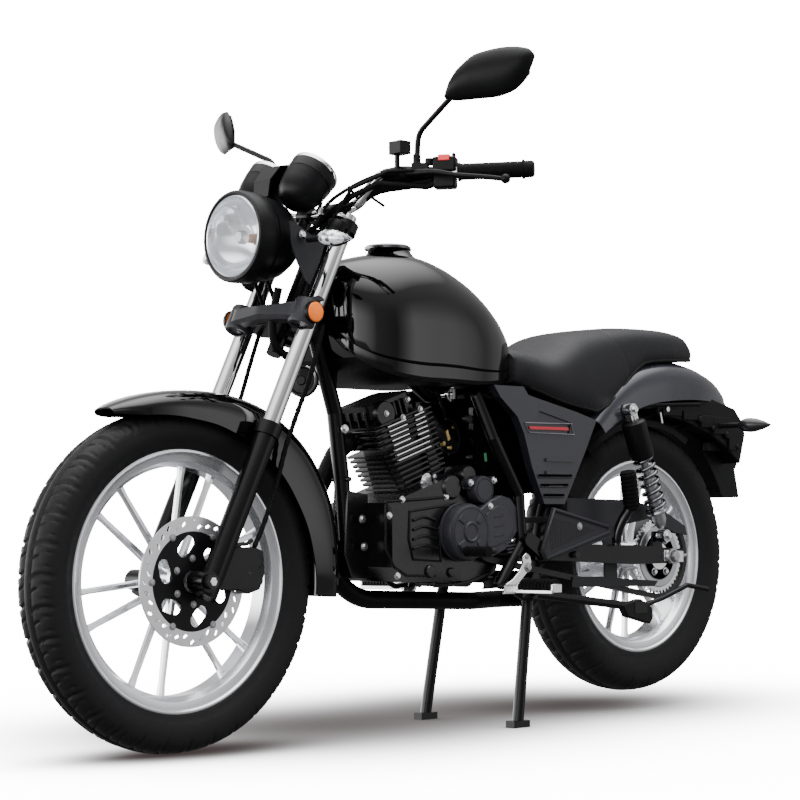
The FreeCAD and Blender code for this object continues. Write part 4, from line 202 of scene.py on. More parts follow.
def add_finishes():
    material("tyre", (0.004, 0.004, 0.0045), 0.6, specular=0.18, surface=grain(900, 0.00025, 0.46, 0.66))
    material("cast_silver", (0.84, 0.85, 0.88), 0.2, 0.92, surface=grain(600, 0.00003, 0.16, 0.24))
    material("satin_silver", (0.52, 0.53, 0.55), 0.38, 1.0, surface=grain(900, 0.0001, 0.3, 0.46))
    material("satin_black", (0.002, 0.002, 0.0024), 0.4, specular=0.16, surface=grain(700, 0.00008, 0.3, 0.45))
    material("black_steel", (0.0015, 0.0015, 0.0018), 0.28, coat=0.12, coat_roughness=0.12, specular=0.2,
             surface=grain(400, 0.00006, 0.2, 0.32))
    material("black_engine", (0.002, 0.002, 0.0025), 0.24, specular=0.45, surface=grain(900, 0.00014, 0.18, 0.32))
    material("grey_engine", (0.010, 0.010, 0.013), 0.36, specular=0.4, surface=grain(1400, 0.00022, 0.32, 0.46))
    material("gloss_black", (0.0006, 0.0006, 0.0006), 0.05, specular=0.45, coat=0.3, coat_roughness=0.02)
    material("matte_black", (0.003, 0.003, 0.0034), 0.5, specular=0.14, surface=grain(1500, 0.00015, 0.4, 0.55))
    material("rubber", (0.0018, 0.0018, 0.002), 0.6, specular=0.1, surface=grain(1200, 0.0002, 0.5, 0.65))
    material("seat_cover", (0.0055, 0.0055, 0.0065), 0.45, specular=0.2, surface=grain(1600, 0.0004, 0.38, 0.5))
    material("chrome", (0.86, 0.86, 0.88), 0.06, 1.0)
    material("steel", (0.32, 0.32, 0.33), 0.34, 0.85, surface=grain(700, 0.0001, 0.28, 0.42))
    material("brake_disc", (0.62, 0.62, 0.64), 0.3, 0.9, surface=grain(1200, 0.0001, 0.25, 0.38))
    material("black_exhaust", (0.002, 0.002, 0.0024), 0.42, specular=0.16, surface=grain(900, 0.0001, 0.34, 0.48))
    material("clear_glass", (1, 1, 1), 0.02, alpha=0.12)
    material("amber", (0.50, 0.10, 0.004), 0.3, specular=0.3, surface=grain(700, 0.0003))
    material("signal_body", (0.75, 0.76, 0.78), 0.12, 0.6, 0.5)
    material("red_plastic", (0.62, 0.02, 0.02), 0.35, coat=0.2)
    material("mirror_face", (0.85, 0.87, 0.9), 0.02, 1.0)
    material("brass", (0.62, 0.46, 0.18), 0.35, 1.0)
    material("white_mark", (0.75, 0.75, 0.75), 0.5)
    material("dial", (0.006, 0.006, 0.007), 0.5)
    material("reflector", (0.80, 0.83, 0.88), 0.16, 0.85)
    material("bulb", (0.16, 0.06, 0.015), 0.25, 0.6)
    material("lens", (1, 1, 1), 0.01, alpha=0.10)
    material("signal_lens", (0.42, 0.45, 0.50), 0.12, 0.5, 0.5, surface=facets)
    material("signal_dark", (0.006, 0.006, 0.007), 0.3, coat=0.2)
    material("cowl_black", (0.010, 0.010, 0.014), 0.2, specular=0.5, coat=0.4, coat_roughness=0.1)
    material("fin_edge", (0.80, 0.80, 0.82), 0.22, 1.0)
    material("bright_steel", (0.75, 0.75, 0.77), 0.2, 1.0)
    material("red_line", (0.20, 0.004, 0.010), 0.35)
    material("silver_line", (0.22, 0.22, 0.24), 0.3, 0.7)
    # Painted shade: pure black with no shine, standing in for shadowed hollows at the louvre slots and the battery box
    material("dark_void", (0.001, 0.001, 0.001), 0.9, specular=0.0)
    material("lamp_red", (0.03, 0.0005, 0.001), 0.2, specular=0.3)
    material("dull_cap", (0.16, 0.16, 0.17), 0.3, 1.0)
    material("dark_metal", (0.03, 0.03, 0.03), 0.4, 0.8, surface=grain(700, 0.0001, 0.3, 0.5))
    material("gloss_steel", (0.001, 0.001, 0.0012), 0.12, specular=0.4, coat=0.3, coat_roughness=0.05)
    material("plug_green", (0.01, 0.10, 0.04), 0.4)
    material("matte_grey", (0.012, 0.012, 0.0145), 0.45, specular=0.3, surface=grain(1500, 0.00015, 0.4, 0.54))
    material("guard_grey", (0.0085, 0.0085, 0.0105), 0.5, specular=0.3, surface=grain(1500, 0.00015, 0.45, 0.58))
    material("cover_satin", (0.009, 0.009, 0.012), 0.3, specular=0.4, coat=0.15, coat_roughness=0.2,
             surface=grain(1500, 0.0001, 0.26, 0.36))
    material("dark_chrome", (0.22, 0.22, 0.23), 0.12, 1.0)


add_finishes()

NODE_FINISH = {
    "tyre": ["front_tyre", "rear_tyre"],
    "cast_silver": ["front_rim", "rear_rim"],
    "black_steel": ["fork_sliders", "lower_yoke", "upper_yoke", "frame_front", "frame_rear", "swingarm", "side_stand",
                    "centre_stand", "brake_pedal", "shift_lever", "rider_pegs", "pillion_pegs", "brake_caliper"],
    "brake_disc": ["front_disc"],
    "steel": ["rear_sprocket", "front_sprocket"],
    "dark_metal": ["carburettor", "chain", "front_axle", "rear_axle"],
    "dull_cap": ["fuel_cap"],
    "chrome": ["fork_stanchions", "gauge_rings", "handlebar", "shock_absorbers"],
    "black_engine": ["engine_case", "right_cover", "cylinder", "cylinder_head"],
    "grey_engine": ["left_covers"],
    "gloss_black": ["front_fender", "fuel_tank", "rear_fender", "headlamp_shell"],
    "cover_satin": ["side_covers"],
    "guard_grey": ["chain_guards"],
    "matte_black": ["gauge_cups", "switch_boxes", "hand_levers", "inner_fender", "plate_holder", "mirrors",
                    "fork_cover", "headlamp_bracket"],
    "rubber": ["grips", "cables"],
    "lamp_red": ["tail_lamp"],
    # The battery box wears the painted shade finish
    "dark_void": ["battery_box"],
    "seat_cover": ["seat"],
    "black_exhaust": ["exhaust_pipe", "muffler"],
    "clear_glass": ["headlamp_lens", "gauge_glass"],
    "amber": ["fork_reflectors"],
    "signal_body": ["front_signals", "rear_signals"],
}


def dress_nodes():
    for finish, names in NODE_FINISH.items():
        for name in names:
            NODES[name].data.materials.clear()
            NODES[name].data.materials.append(MATERIALS[finish])


dress_nodes()

# Places: x counts forward from the rear axle, z up from the floor, in millimetres


def middle_of(node):
    low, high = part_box(node)
    return (low + high) / 2


REAR_AXLE = middle_of("rear_rim")
FRONT_AXLE = middle_of("front_rim")
HANDS = ((1, "left"), (-1, "right"))


def at(x, y, z):
    return Vector((REAR_AXLE.x + x * MM, y * MM, z * MM))


def facing(turn):
    """The direction at an angle up from straight ahead."""
    return Vector((cos(turn), 0, sin(turn)))


RAKE = radians(26)
FORK_OFFSET = 17
STEER_UP = Vector((-sin(RAKE), 0, cos(RAKE)))
STEER_AHEAD = Vector((cos(RAKE), 0, sin(RAKE)))


def on_fork(along, ahead=0.0, side=0.0):
    """A place by the fork leg's line: distance up from the axle's height, ahead of it and to the side."""
    base = FRONT_AXLE - STEER_AHEAD * (FORK_OFFSET * MM)
    return base + STEER_UP * (along * MM) + STEER_AHEAD * (ahead * MM) + LEFT * (side * MM)


# Making pieces


def shade(mesh, angle):
    """Smooth shading with creases kept."""
    for polygon in mesh.polygons:
        polygon.use_smooth = True
    bm = bmesh.new()
    bm.from_mesh(mesh)
    limit = radians(angle)
    for edge in bm.edges:
        edge.smooth = len(edge.link_faces) == 2 and edge.calc_face_angle(0) < limit
    bm.to_mesh(mesh)
    bm.free()


def mesh_object(name, bm, materials):
    mesh = bpy.data.meshes.new(name)
    bm.to_mesh(mesh)
    bm.free()
    for one in materials:
        mesh.materials.append(one)
    return placed(name, mesh)


def piece(name, bm, finish, body, replaces=(), crease=35, bevel=0.0, wall=0.0):
    """A mesh object from bm, shaded, finished and set to ride on a body."""
    bmesh.ops.remove_doubles(bm, verts=bm.verts, dist=WELD)
    bmesh.ops.recalc_face_normals(bm, faces=bm.faces)
    if wall:
        bmesh.ops.solidify(bm, geom=bm.faces, thickness=wall)
        bmesh.ops.recalc_face_normals(bm, faces=bm.faces)
    worn = [finish] if isinstance(finish, str) else finish
    obj = mesh_object(name, bm, [MATERIALS[one] for one in worn])
    shade(obj.data, crease)
    if bevel:
        edge = obj.modifiers.new("edge", "BEVEL")
        edge.width = bevel * MM
        edge.segments = 2
        edge.limit_method = "ANGLE"
        edge.angle_limit = radians(crease)
        edge.harden_normals = False
    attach(obj, body)
    if replaces:
        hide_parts(*replaces)
    return obj


def told_once(side, node):
    """The solid that a pair of pieces stands for, named by the left one only."""
    return [node] if side == 1 else ()


def ring(bm, points):
    """A closed ring of edges through the points."""
    made = bmesh.ops.create_circle(bm, segments=len(points), radius=1.0)["verts"]
    for vert, point in zip(made, points):
        vert.co = point
    return list({edge for vert in made for edge in vert.link_edges})


def skin(bm, rows):
    """Closed rings bridged one to the next, with both ends capped."""
    rings = [ring(bm, row) for row in rows]
    for one, other in zip(rings, rings[1:]):
        bmesh.ops.bridge_loops(bm, edges=one + other)
    for end in (rings[0], rings[-1]):
        bmesh.ops.contextual_create(bm, geom=end)
    return bm


def strip(bm, rows):
    """Open rows of points bridged one to the next."""
    edges = []
    for row in rows:
        verts = [bm.verts.new(point) for point in row]
        edges.append([bm.edges.new(pair) for pair in zip(verts, verts[1:])])
    for one, other in zip(edges, edges[1:]):
        bmesh.ops.bridge_loops(bm, edges=one + other)
    return bm


def basis(axis):
    """Two directions square to an axis."""
    axis = axis.normalized()
    first = UP.cross(axis).normalized() if abs(axis.z) < 0.9 else axis.orthogonal().normalized()
    return first, axis.cross(first)


def circle(centre, across, over, radius, sides):
    """Points round a centre, in the plane of two directions."""
    return [centre + (across * cos(2 * pi * k / sides) + over * sin(2 * pi * k / sides)) * (radius * MM)
            for k in range(sides)]


def lathe(bm, profile, centre, axis, steps=64, closed=False):
    """A profile of (radius, distance along the axis) in millimetres, spun a full turn."""
    axis = axis.normalized()
    across, _ = basis(axis)
    verts = [bm.verts.new(centre + across * (r * MM) + axis * (t * MM)) for r, t in profile]
    edges = [bm.edges.new(pair) for pair in zip(verts, verts[1:])]
    if closed:
        edges.append(bm.edges.new((verts[-1], verts[0])))
    bmesh.ops.spin(bm, geom=verts + edges, cent=centre, axis=axis, angle=2 * pi, steps=steps, use_merge=True)
    bmesh.ops.remove_doubles(bm, verts=bm.verts, dist=WELD)
    return bm


def turned(name, profile, centre, axis, finish, body, steps=64, closed=False, **more):
    return piece(name, lathe(bmesh.new(), profile, centre, axis, steps, closed), finish, body, **more)


def between(a, b, c, d, t):
    """A smooth line's value between b and c, where a comes before and d after them."""
    return 0.5 * (2 * b + (c - a) * t + (2 * a - 5 * b + 4 * c - d) * t * t + (3 * b - a - 3 * c + d) * t ** 3)


def curved(points, count=8):
    """Points along a smooth line through the given ones."""
    ends = [points[0] * 2 - points[1]] + list(points) + [points[-1] * 2 - points[-2]]
    line = [between(*ends[i - 1:i + 3], step / count) for i in range(1, len(ends) - 2) for step in range(count)]
    return line + [points[-1]]


def rounded(points, share=0.35, count=6):
    """Straight runs with rounded corners."""
    line = [points[0]]
    for before, corner, after in zip(points, points[1:], points[2:]):
        reach = share * min((before - corner).length, (after - corner).length)
        first = corner + (before - corner).normalized() * reach
        last = corner + (after - corner).normalized() * reach
        for step in range(count + 1):
            t = step / count
            line.append(first * (1 - t) ** 2 + corner * (2 * t * (1 - t)) + last * t * t)
    return line + [points[-1]]


def hose(bm, line, radius, sides=12):
    """A round bar along a line; radius may be one number or one for each point, in millimetres."""
    radii = radius if isinstance(radius, (list, tuple)) else [radius] * len(line)
    across, _ = basis(line[1] - line[0])
    rows = []
    for i, point in enumerate(line):
        ahead = (line[min(i + 1, len(line) - 1)] - line[max(i - 1, 0)]).normalized()
        across = (across - ahead * across.dot(ahead)).normalized()
        rows.append(circle(point, across, ahead.cross(across), radii[i], sides))
    return skin(bm, rows)


def tube(name, points, radius, finish, body, share=0.35, sides=12, smooth=False, **more):
    line = curved(points) if smooth else rounded(points, share) if len(points) > 2 else points
    return piece(name, hose(bmesh.new(), line, radius, sides), finish, body, crease=60, **more)


def draw_out(bm, faces, distance):
    """Faces made into a solid by drawing them out to the left."""
    out = bmesh.ops.extrude_face_region(bm, geom=faces)["geom"]
    moved = [v for v in out if isinstance(v, bmesh.types.BMVert)]
    bmesh.ops.translate(bm, verts=moved, vec=LEFT * (distance * MM))


def plate(bm, outline, low, high):
    """An outline of (x, z) bike places, drawn out across the bike from low to high."""
    draw_out(bm, [bm.faces.new([bm.verts.new(at(x, low, z)) for x, z in outline])], high - low)
    return bm


def prism(bm, place, axis, rows, sides):
    """A solid through rings of (distance along the axis, radius)."""
    across, over = basis(axis)
    skin(bm, [circle(place + axis.normalized() * (t * MM), across, over, r, sides) for t, r in rows])


def bolt_into(bm, place, axis, r=6.0, h=5.0):
    """A hexagon bolt head standing on a washer."""
    prism(bm, place, axis, [(-1, r * 1.5), (1.0, r * 1.5), (1.2, r * 1.42)], 16)
    prism(bm, place, axis, [(-1, r), (h - r * 0.12, r), (h, r * 0.85)], 6)


def bolts(name, places, axis, finish, body, r=6.0, h=5.0):
    bm = bmesh.new()
    for place in places:
        bolt_into(bm, place, axis, r, h)
    return piece(name, bm, finish, body, crease=30)


# Wheels

FRONT_HUB = [(8.5, -61), (25, -61), (31, -40), (34, -28), (34, 28), (40, 46), (50, 52), (50, 61), (8.5, 61)]
REAR_HUB = [(9, -92), (66, -92), (72, -88), (72, -50), (40, -4), (34, 2), (34, 84), (46, 88), (52, 94), (52, 104),
            (9, 104)]
# Each wheel: name, axle, tyre (radius, half width, bead radius, bead half width, tread pitches),
# flange radius, half width of the rim, angle of the first spoke pair, hub section
WHEELS = (("front", FRONT_AXLE, (318, 50, 236, 31, 34), 243, 34, 46, FRONT_HUB),
          ("rear", REAR_AXLE, (306, 61, 210, 41, 30), 217, 44, 40, REAR_HUB))
# A tyre's side from the bead to the crown: share of the height, share of the half width
TYRE_SHARES = [(0.0, 0.86), (0.10, 0.89), (0.13, 0.92), (0.16, 0.915), (0.28, 0.965), (0.42, 0.995), (0.55, 1.0),
               (0.66, 0.985), (0.74, 0.955), (0.80, 0.905), (0.86, 0.82), (0.905, 0.72), (0.94, 0.60), (0.965, 0.47),
               (0.983, 0.33), (0.994, 0.18), (0.997, 0.10), (1.0, 0.03)]
PITCH_COLUMNS = 16
# Cuts across the tread: shares of the half width from and to, columns on the left and on the right, depth
TREAD_CUTS = ((0.2, 0.97, (0, 1), (8, 9), 4.5), (0.13, 0.56, (10,), (2,), 4.0), (0.66, 0.93, (5, 12), (13, 4), 2.6))
SPOKE_SECTION = ((1, 0.5), (0.55, 1), (-0.55, 1), (-1, 0.5), (-1, -0.5), (-0.55, -1), (0.55, -1), (1, -0.5))


def tyre_profile(outer, half, bead_r, bead_half):
    """The tyre's outer section from one bead to the other, as (radius, side)."""
    left = []
    for up, out in TYRE_SHARES:
        spread_half = bead_half / 0.86 + (half - bead_half / 0.86) * min(1.0, up / 0.42)
        left.append((bead_r + (outer - bead_r) * up, spread_half * out))
    return left + [(r, -t) for r, t in reversed(left)]


def tread_cut(share, column, left):
    cut = 0.0
    for low, high, left_columns, right_columns, depth in TREAD_CUTS:
        if low < share < high and column in (left_columns if left else right_columns):
            cut = depth
    return max(cut, 4.0) if 0.14 < share < 0.22 else cut


def add_tyre(word, axle, outer, half, bead_r, bead_half, pitches):
    inner = [(bead_r, -bead_half * 0.99), (bead_r - 2, -bead_half * 0.9), (bead_r - 2, bead_half * 0.9),
             (bead_r, bead_half * 0.99)]
    steps = pitches * PITCH_COLUMNS
    bm = lathe(bmesh.new(), tyre_profile(outer, half, bead_r, bead_half) + inner, axle, LEFT, steps, closed=True)
    column_turn = 2 * pi / steps
    tread_r = bead_r + (outer - bead_r) * 0.70
    for vert in bm.verts:
        out = vert.co - axle
        side = out.y / MM
        out.y = 0
        radius = out.length / MM
        turn = atan2(out.z, out.x)
        column = round(turn / column_turn) % PITCH_COLUMNS
        share = abs(side) / half
        if radius > bead_r:
            shear = column_turn * PITCH_COLUMNS * (0.85 * share - 0.62 * share * share)
            turn += shear if side > 0 else -shear
        if radius > tread_r and share < 0.99:
            radius -= tread_cut(share, column, side > 0)
        vert.co = axle + facing(turn) * (radius * MM) + LEFT * (side * MM)
    piece(f"{word}_tyre_tread", bm, "tyre", f"{word}_wheel", replaces=[f"{word}_tyre"], crease=50)


def add_rim_edge(word, axle, flange, half):
    bm = bmesh.new()
    for side, _ in HANDS:
        profile = [(flange - 6.5, half - 1), (flange - 4, half + 1.4), (flange - 1, half + 1.6),
                   (flange + 1.2, half + 0.4), (flange + 1.2, half - 2), (flange - 6.5, half - 2)]
        lathe(bm, [(r, side * y) for r, y in profile], axle, LEFT, 128, closed=True)
    piece(f"{word}_rim_edge", bm, "cast_silver", f"{word}_wheel")


def add_rim(word, axle, flange, half, first, hub):
    """A cast wheel: polished lip, stepped face, drop-centre ring, hub and slim spokes in six pairs."""
    body = f"{word}_wheel"
    side = [(half - 1, flange - 5), (half, flange - 3.5), (half, flange - 0.5), (half - 1, flange),
            (half - 6, flange), (half - 6, flange - 10), (half - 13, flange - 13), (half / 2, flange - 22)]
    under = [(half / 2, flange - 31), (half - 9, flange - 24), (half - 6, flange - 21), (half - 4, flange - 12)]
    outline = side + [(-y, r) for y, r in reversed(side)] + [(-y, r) for y, r in reversed(under)] + under
    turned(f"{word}_rim_ring", [(r, y) for y, r in outline], axle, LEFT, "cast_silver", body, 128, closed=True,
           replaces=[f"{word}_rim"], crease=20)
    turned(f"{word}_hub", hub, axle, LEFT, "cast_silver", body, 64, closed=True, crease=30)
    bm = bmesh.new()
    for pair in range(6):
        for way in (1, -1):
            start = facing(radians(first + 60 * pair + way * 17)) * 30
            end = facing(radians(first + 60 * pair + way * 9.5)) * (flange - 27)
            beside = (end - start).normalized().cross(LEFT)
            skin(bm, [[axle + (start.lerp(end, share) + beside * (wide * u) + LEFT * (deep * v)) * MM
                       for u, v in SPOKE_SECTION]
                      for share, wide, deep in ((0, 8.5, 11), (0.2, 6.4, 8.5), (0.85, 5.2, 7), (1, 7, 9))])
    piece(f"{word}_spokes", bm, "cast_silver", body, crease=25)


def add_wheels():
    for word, axle, tyre, *_ in WHEELS:
        add_tyre(word, axle, *tyre)
    for word, axle, _, flange, half, *_ in WHEELS:
        add_rim_edge(word, axle, flange, half)
    for word, axle, _, *rim in WHEELS:
        add_rim(word, axle, *rim)


def holed_ring(bm, axle, inner, outer, low, high, holes, steps=96):
    """A flat ring drawn out across the bike; a hole is (radius out, angle, half length, half width, slant)."""
    face = axle + LEFT * (low * MM)
    edges = []
    for radius in (inner, outer):
        edges += ring(bm, circle(face, AHEAD, UP, radius, steps))
    for out, turn, half_l, half_w, slant in holes:
        along = facing(turn + slant)
        points = []
        for k in range(12):
            angle = 2 * pi * k / 12
            shift = half_l - half_w if cos(angle) > 0.01 else half_w - half_l if cos(angle) < -0.01 else 0
            points.append(face + (facing(turn) * out + along * (cos(angle) * half_w + shift)
                                  + along.cross(LEFT) * (sin(angle) * half_w)) * MM)
        edges += ring(bm, points)
    filled = bmesh.ops.triangle_fill(bm, edges=edges, use_beauty=True, use_dissolve=False)["geom"]
    draw_out(bm, [f for f in filled if isinstance(f, bmesh.types.BMFace)], high - low)
    return bm


DISC_FACE = 66.5


def round_disc(radius, count, first=0.0):
    """Places on the brake disc's outer face."""
    return [FRONT_AXLE + facing(2 * pi * k / count + first) * (radius * MM) + LEFT * (DISC_FACE * MM)
            for k in range(count)]


def add_front_disc():
    holes = [(radius, 2 * pi * k / 12 + turn, 6, 3.2, 0.9)
             for k in range(12) for radius, turn in ((111, 0), (101, 0.16), (106, 0.34))]
    piece("disc_ring", holed_ring(bmesh.new(), FRONT_AXLE, 90, 120, 62, 66, holes), "brake_disc", "front_wheel",
          replaces=["front_disc"], crease=30)
    holes = [(66, 2 * pi * k / 6 + 0.3, 23, 13.5, 1.0) for k in range(6)]
    piece("disc_carrier", holed_ring(bmesh.new(), FRONT_AXLE, 21, 92, 61.5, DISC_FACE, holes), "satin_black",
          "front_wheel", crease=30, bevel=0.8)
    bolts("disc_rivets", round_disc(93, 6), LEFT, "steel", "front_wheel", 4.5, 2.0)
    bolts("disc_bolts", round_disc(42, 6, 0.5), LEFT, "steel", "front_wheel", 4.5, 4.0)


# Bodywork


def table_at(rows, t):
    """A row of a table keyed by its first column, smoothly between its neighbours."""
    keys = [row[0] for row in rows]
    t = min(max(t, keys[0]), keys[-1])
    i = max(k for k in range(len(keys) - 1) if keys[k] <= t)
    share = (t - keys[i]) / (keys[i + 1] - keys[i])
    before = rows[i - 1] if i else rows[i]
    after = rows[i + 2] if i + 2 < len(rows) else rows[i + 1]
    return [between(*values, share) for values in zip(before[1:], rows[i][1:], rows[i + 1][1:], after[1:])]


def even(rows, count):
    first, last = rows[0][0], rows[-1][0]
    return [first + (last - first) * k / count for k in range(count + 1)]


def section_ring(x, half, low, high, section, lip, count=16, lean=0.0):
    """A ring round a body at a place along the bike, from the section of its left side."""
    left = [tuple(table_at(section, t)) for t in even(section, count)] + lip
    return [at(x + lean * (up - 0.5), half * out, low + (high - low) * up)
            for out, up in left + [(-out, up) for out, up in reversed(left) if out > 0.0001]]


TANK_REAR, TANK_LONG, TANK_FLOOR, TANK_HIGH, TANK_HALF = 436, 500, 706, 276, 145
# Share of the length, then of the height (top and bottom) and of the half width
TANK_STATIONS = [
    (0.0, 0.37, 0.22, 0.32), (0.025, 0.425, 0.17, 0.46), (0.07, 0.50, 0.11, 0.61), (0.13, 0.60, 0.06, 0.74),
    (0.20, 0.70, 0.03, 0.84), (0.28, 0.79, 0.01, 0.92), (0.37, 0.87, 0.0, 0.97), (0.47, 0.935, 0.0, 0.995),
    (0.57, 0.97, 0.0, 1.0), (0.67, 0.97, 0.0, 1.0), (0.77, 0.945, 0.015, 0.985), (0.85, 0.91, 0.045, 0.92),
    (0.91, 0.87, 0.09, 0.81), (0.96, 0.81, 0.17, 0.63), (0.985, 0.76, 0.25, 0.47), (1.0, 0.68, 0.36, 0.26)]
TANK_SECTION = [
    (0.0, 0.0, 1.0), (0.14, 0.25, 0.99), (0.28, 0.49, 0.955), (0.42, 0.70, 0.875), (0.56, 0.87, 0.74),
    (0.70, 0.97, 0.56), (0.84, 1.0, 0.36), (1.0, 0.985, 0.14)]
TANK_LIP = [(0.955, 0.125), (0.985, 0.115), (0.985, 0.03), (0.955, 0.0), (0.80, 0.0)]
FILLER_NECK = [(24, -46), (92, -40), (66, -27), (52, -17), (45, -8), (43, -2), (24, -2)]


def add_tank():
    rows = []
    for t in even(TANK_STATIONS, 44):
        top, low, wide = table_at(TANK_STATIONS, t)
        rows.append(section_ring(TANK_REAR + TANK_LONG * t, TANK_HALF * wide, TANK_FLOOR + TANK_HIGH * low,
                                 TANK_FLOOR + TANK_HIGH * top, TANK_SECTION, TANK_LIP))
    tank = piece("tank_shell", skin(bmesh.new(), rows), ["gloss_black", "matte_black"], "frame",
                 replaces=["fuel_tank"], crease=28)
    for polygon in tank.data.polygons:
        if polygon.normal.z < -0.3 and polygon.center.z < (TANK_FLOOR + 40) * MM:
            polygon.material_index = 1
    turned("filler_neck", FILLER_NECK, at(737, 0, 988), UP, "gloss_black", "frame", 48, closed=True, crease=30)


SEAT_REAR, SEAT_LONG, SEAT_LOW, SEAT_HIGH, SEAT_HALF = -166, 640, 664, 206, 140
# Share of the length, then of the height (top and bottom) and of the half width, and how far the section leans back
SEAT_STATIONS = [
    (0.0, 0.80, 0.67, 0.50, -6), (0.012, 0.88, 0.655, 0.56, -8), (0.04, 0.945, 0.645, 0.62, -14),
    (0.09, 0.975, 0.635, 0.67, -20), (0.16, 0.985, 0.625, 0.73, -26), (0.26, 0.98, 0.605, 0.785, -34),
    (0.37, 0.965, 0.56, 0.83, -44), (0.45, 0.935, 0.44, 0.87, -60), (0.52, 0.905, 0.29, 0.91, -70),
    (0.59, 0.87, 0.12, 0.95, -66), (0.65, 0.835, 0.0, 0.98, -40), (0.70, 0.775, 0.02, 1.0, -20),
    (0.76, 0.68, 0.05, 1.0, -8), (0.82, 0.60, 0.09, 1.0, 0), (0.88, 0.575, 0.145, 0.98, 0),
    (0.94, 0.61, 0.20, 0.94, 0), (0.98, 0.64, 0.24, 0.87, 0), (1.0, 0.62, 0.27, 0.78, 0)]
SEAT_SECTION = [
    (0.0, 0.0, 1.0), (0.14, 0.35, 0.99), (0.28, 0.62, 0.95), (0.42, 0.83, 0.85), (0.56, 0.95, 0.67),
    (0.70, 1.0, 0.42), (0.85, 0.99, 0.18), (1.0, 0.94, 0.02)]
SEAT_STEPS = [0.0, 0.004, 0.012, 0.022] + [0.04 + 0.012 * k for k in range(81)]
SEAM_AT = 0.475
SEAM_HALF = 0.010
SEAM_DEPTH = 2.2


def add_seat():
    rows = []
    for t in SEAT_STEPS:
        top, low, wide, lean = table_at(SEAT_STATIONS, t)
        pinch = SEAM_DEPTH * max(0.0, 1 - abs(t - SEAM_AT) / SEAM_HALF)
        rows.append(section_ring(SEAT_REAR + SEAT_LONG * t, SEAT_HALF * wide - pinch, SEAT_LOW + SEAT_HIGH * low,
                                 SEAT_LOW + SEAT_HIGH * top - pinch, SEAT_SECTION, [(0.80, -0.02)], 18, -lean))
    seat = piece("seat_pad", skin(bmesh.new(), rows), "seat_cover", "frame", replaces=["seat"], crease=50)
    bm = bmesh.new()
    for side, _ in HANDS:
        points = []
        for k in range(20):
            t = 0.02 + 0.049 * k
            _, low, wide, lean = table_at(SEAT_STATIONS, t)
            points.append(at(SEAT_REAR + SEAT_LONG * t + lean * 0.5, side * SEAT_HALF * wide * 0.93,
                             SEAT_LOW + SEAT_HIGH * low + 1))
        hose(bm, points, 4.0, 8)
    piece("seat_hem", bm, "matte_black", "frame", crease=60)


# A fender's section: share of the half width, share of the way from the skirt to the crown
ARCH = [(-1.0, 0.0), (-1.0, 0.2), (-0.995, 0.36), (-0.975, 0.52), (-0.93, 0.66), (-0.85, 0.78), (-0.72, 0.87),
        (-0.56, 0.935), (-0.40, 0.975), (-0.2, 0.995)]
ARCH = ARCH + [(0.0, 1.0)] + [(-s, up) for s, up in reversed(ARCH)]
# Angle round the axle, then shares of the crown radius, of the skirt radius and of the half width
FRONT_ARCH = [
    (64.0, 0.888, 1.165, 0.40), (67.0, 0.888, 1.13, 0.66), (72.0, 0.888, 1.09, 0.86), (82.0, 0.888, 1.05, 0.98),
    (92.0, 0.895, 1.02, 1.0), (101.0, 0.911, 1.01, 1.0), (110.0, 0.935, 1.0, 1.0), (120.0, 0.963, 1.0, 1.0),
    (130.0, 0.985, 1.0, 1.0), (140.0, 1.0, 1.0, 1.0), (150.0, 1.003, 1.0, 1.0), (160.0, 1.0, 1.01, 1.0),
    (170.0, 0.99, 1.02, 0.98), (179.0, 0.98, 1.04, 0.94), (186.0, 0.975, 1.06, 0.86)]
REAR_ARCH = [
    (52.0, 0.80, 0.733, 0.99), (58.0, 0.823, 0.728, 1.0), (65.0, 0.848, 0.725, 1.0), (72.0, 0.87, 0.727, 0.99),
    (79.0, 0.888, 0.731, 0.98), (86.0, 0.90, 0.737, 0.965), (93.0, 0.912, 0.747, 0.945), (100.0, 0.926, 0.766, 0.91),
    (107.0, 0.941, 0.795, 0.87), (114.0, 0.957, 0.835, 0.81), (121.0, 0.973, 0.888, 0.70), (128.0, 0.99, 0.945, 0.53),
    (133.0, 1.0, 0.985, 0.36)]


def arch(centre, shares, crown, skirt, half, count):
    rows = []
    for angle in even(shares, count):
        top, low, wide = table_at(shares, angle)
        rows.append([centre + facing(radians(angle)) * ((skirt * low + (crown * top - skirt * low) * up) * MM)
                     + LEFT * (half * wide * s * MM) for s, up in ARCH])
    return strip(bmesh.new(), rows)


def add_fenders():
    piece("front_fender_shell", arch(FRONT_AXLE, FRONT_ARCH, 394, 292, 67, 60), "gloss_black", "steering",
          replaces=["front_fender"], wall=-0.0028)
    piece("rear_cowl", arch(REAR_AXLE, REAR_ARCH, 494, 470, 128, 48), "cowl_black", "frame",
          replaces=["rear_fender"], wall=-0.003)


# Lamps

LAMP_BOWL = [(0, -138), (18, -137), (40, -131), (60, -118), (74, -98), (82, -74), (85, -52), (86, -47), (83.5, -46),
             (83.5, -43), (87, -42), (88.5, -38), (89.5, -20), (90, -6), (89, 1), (86.5, 4.5), (82.5, 5), (79.6, 2.5),
             (79.4, -4), (78.6, -4)]
LAMP_DOME = [(79, -3.5), (79, 0.5), (78, 2.0), (70, 6.5), (55, 11.5), (38, 15), (20, 17), (0, 17.5)]
LAMP_TRIM = [(79.4, -3), (79.4, 3.2), (77.6, 4.4), (75.6, 3.4), (75.2, -2), (76, -3)]
LAMP_MIRROR = ([(76, -2)] + [(76 * sqrt(max(0.0, 1 - (d / 62) ** 1.6)), -2 - d) for d in (4, 10, 18, 27, 36, 45, 52)]
               + [(24, -58), (0, -58)])
LAMP_BULB = [(0, 26), (6, 25), (9, 20), (9.5, 10), (9, 0), (8, -6), (12, -8), (12, -14), (0, -14)]
BULB_CAP = [(0, 6), (10, 5), (13, 0), (13.4, -12), (12.6, -12), (12.2, 0), (9, 4), (0, 4.6)]
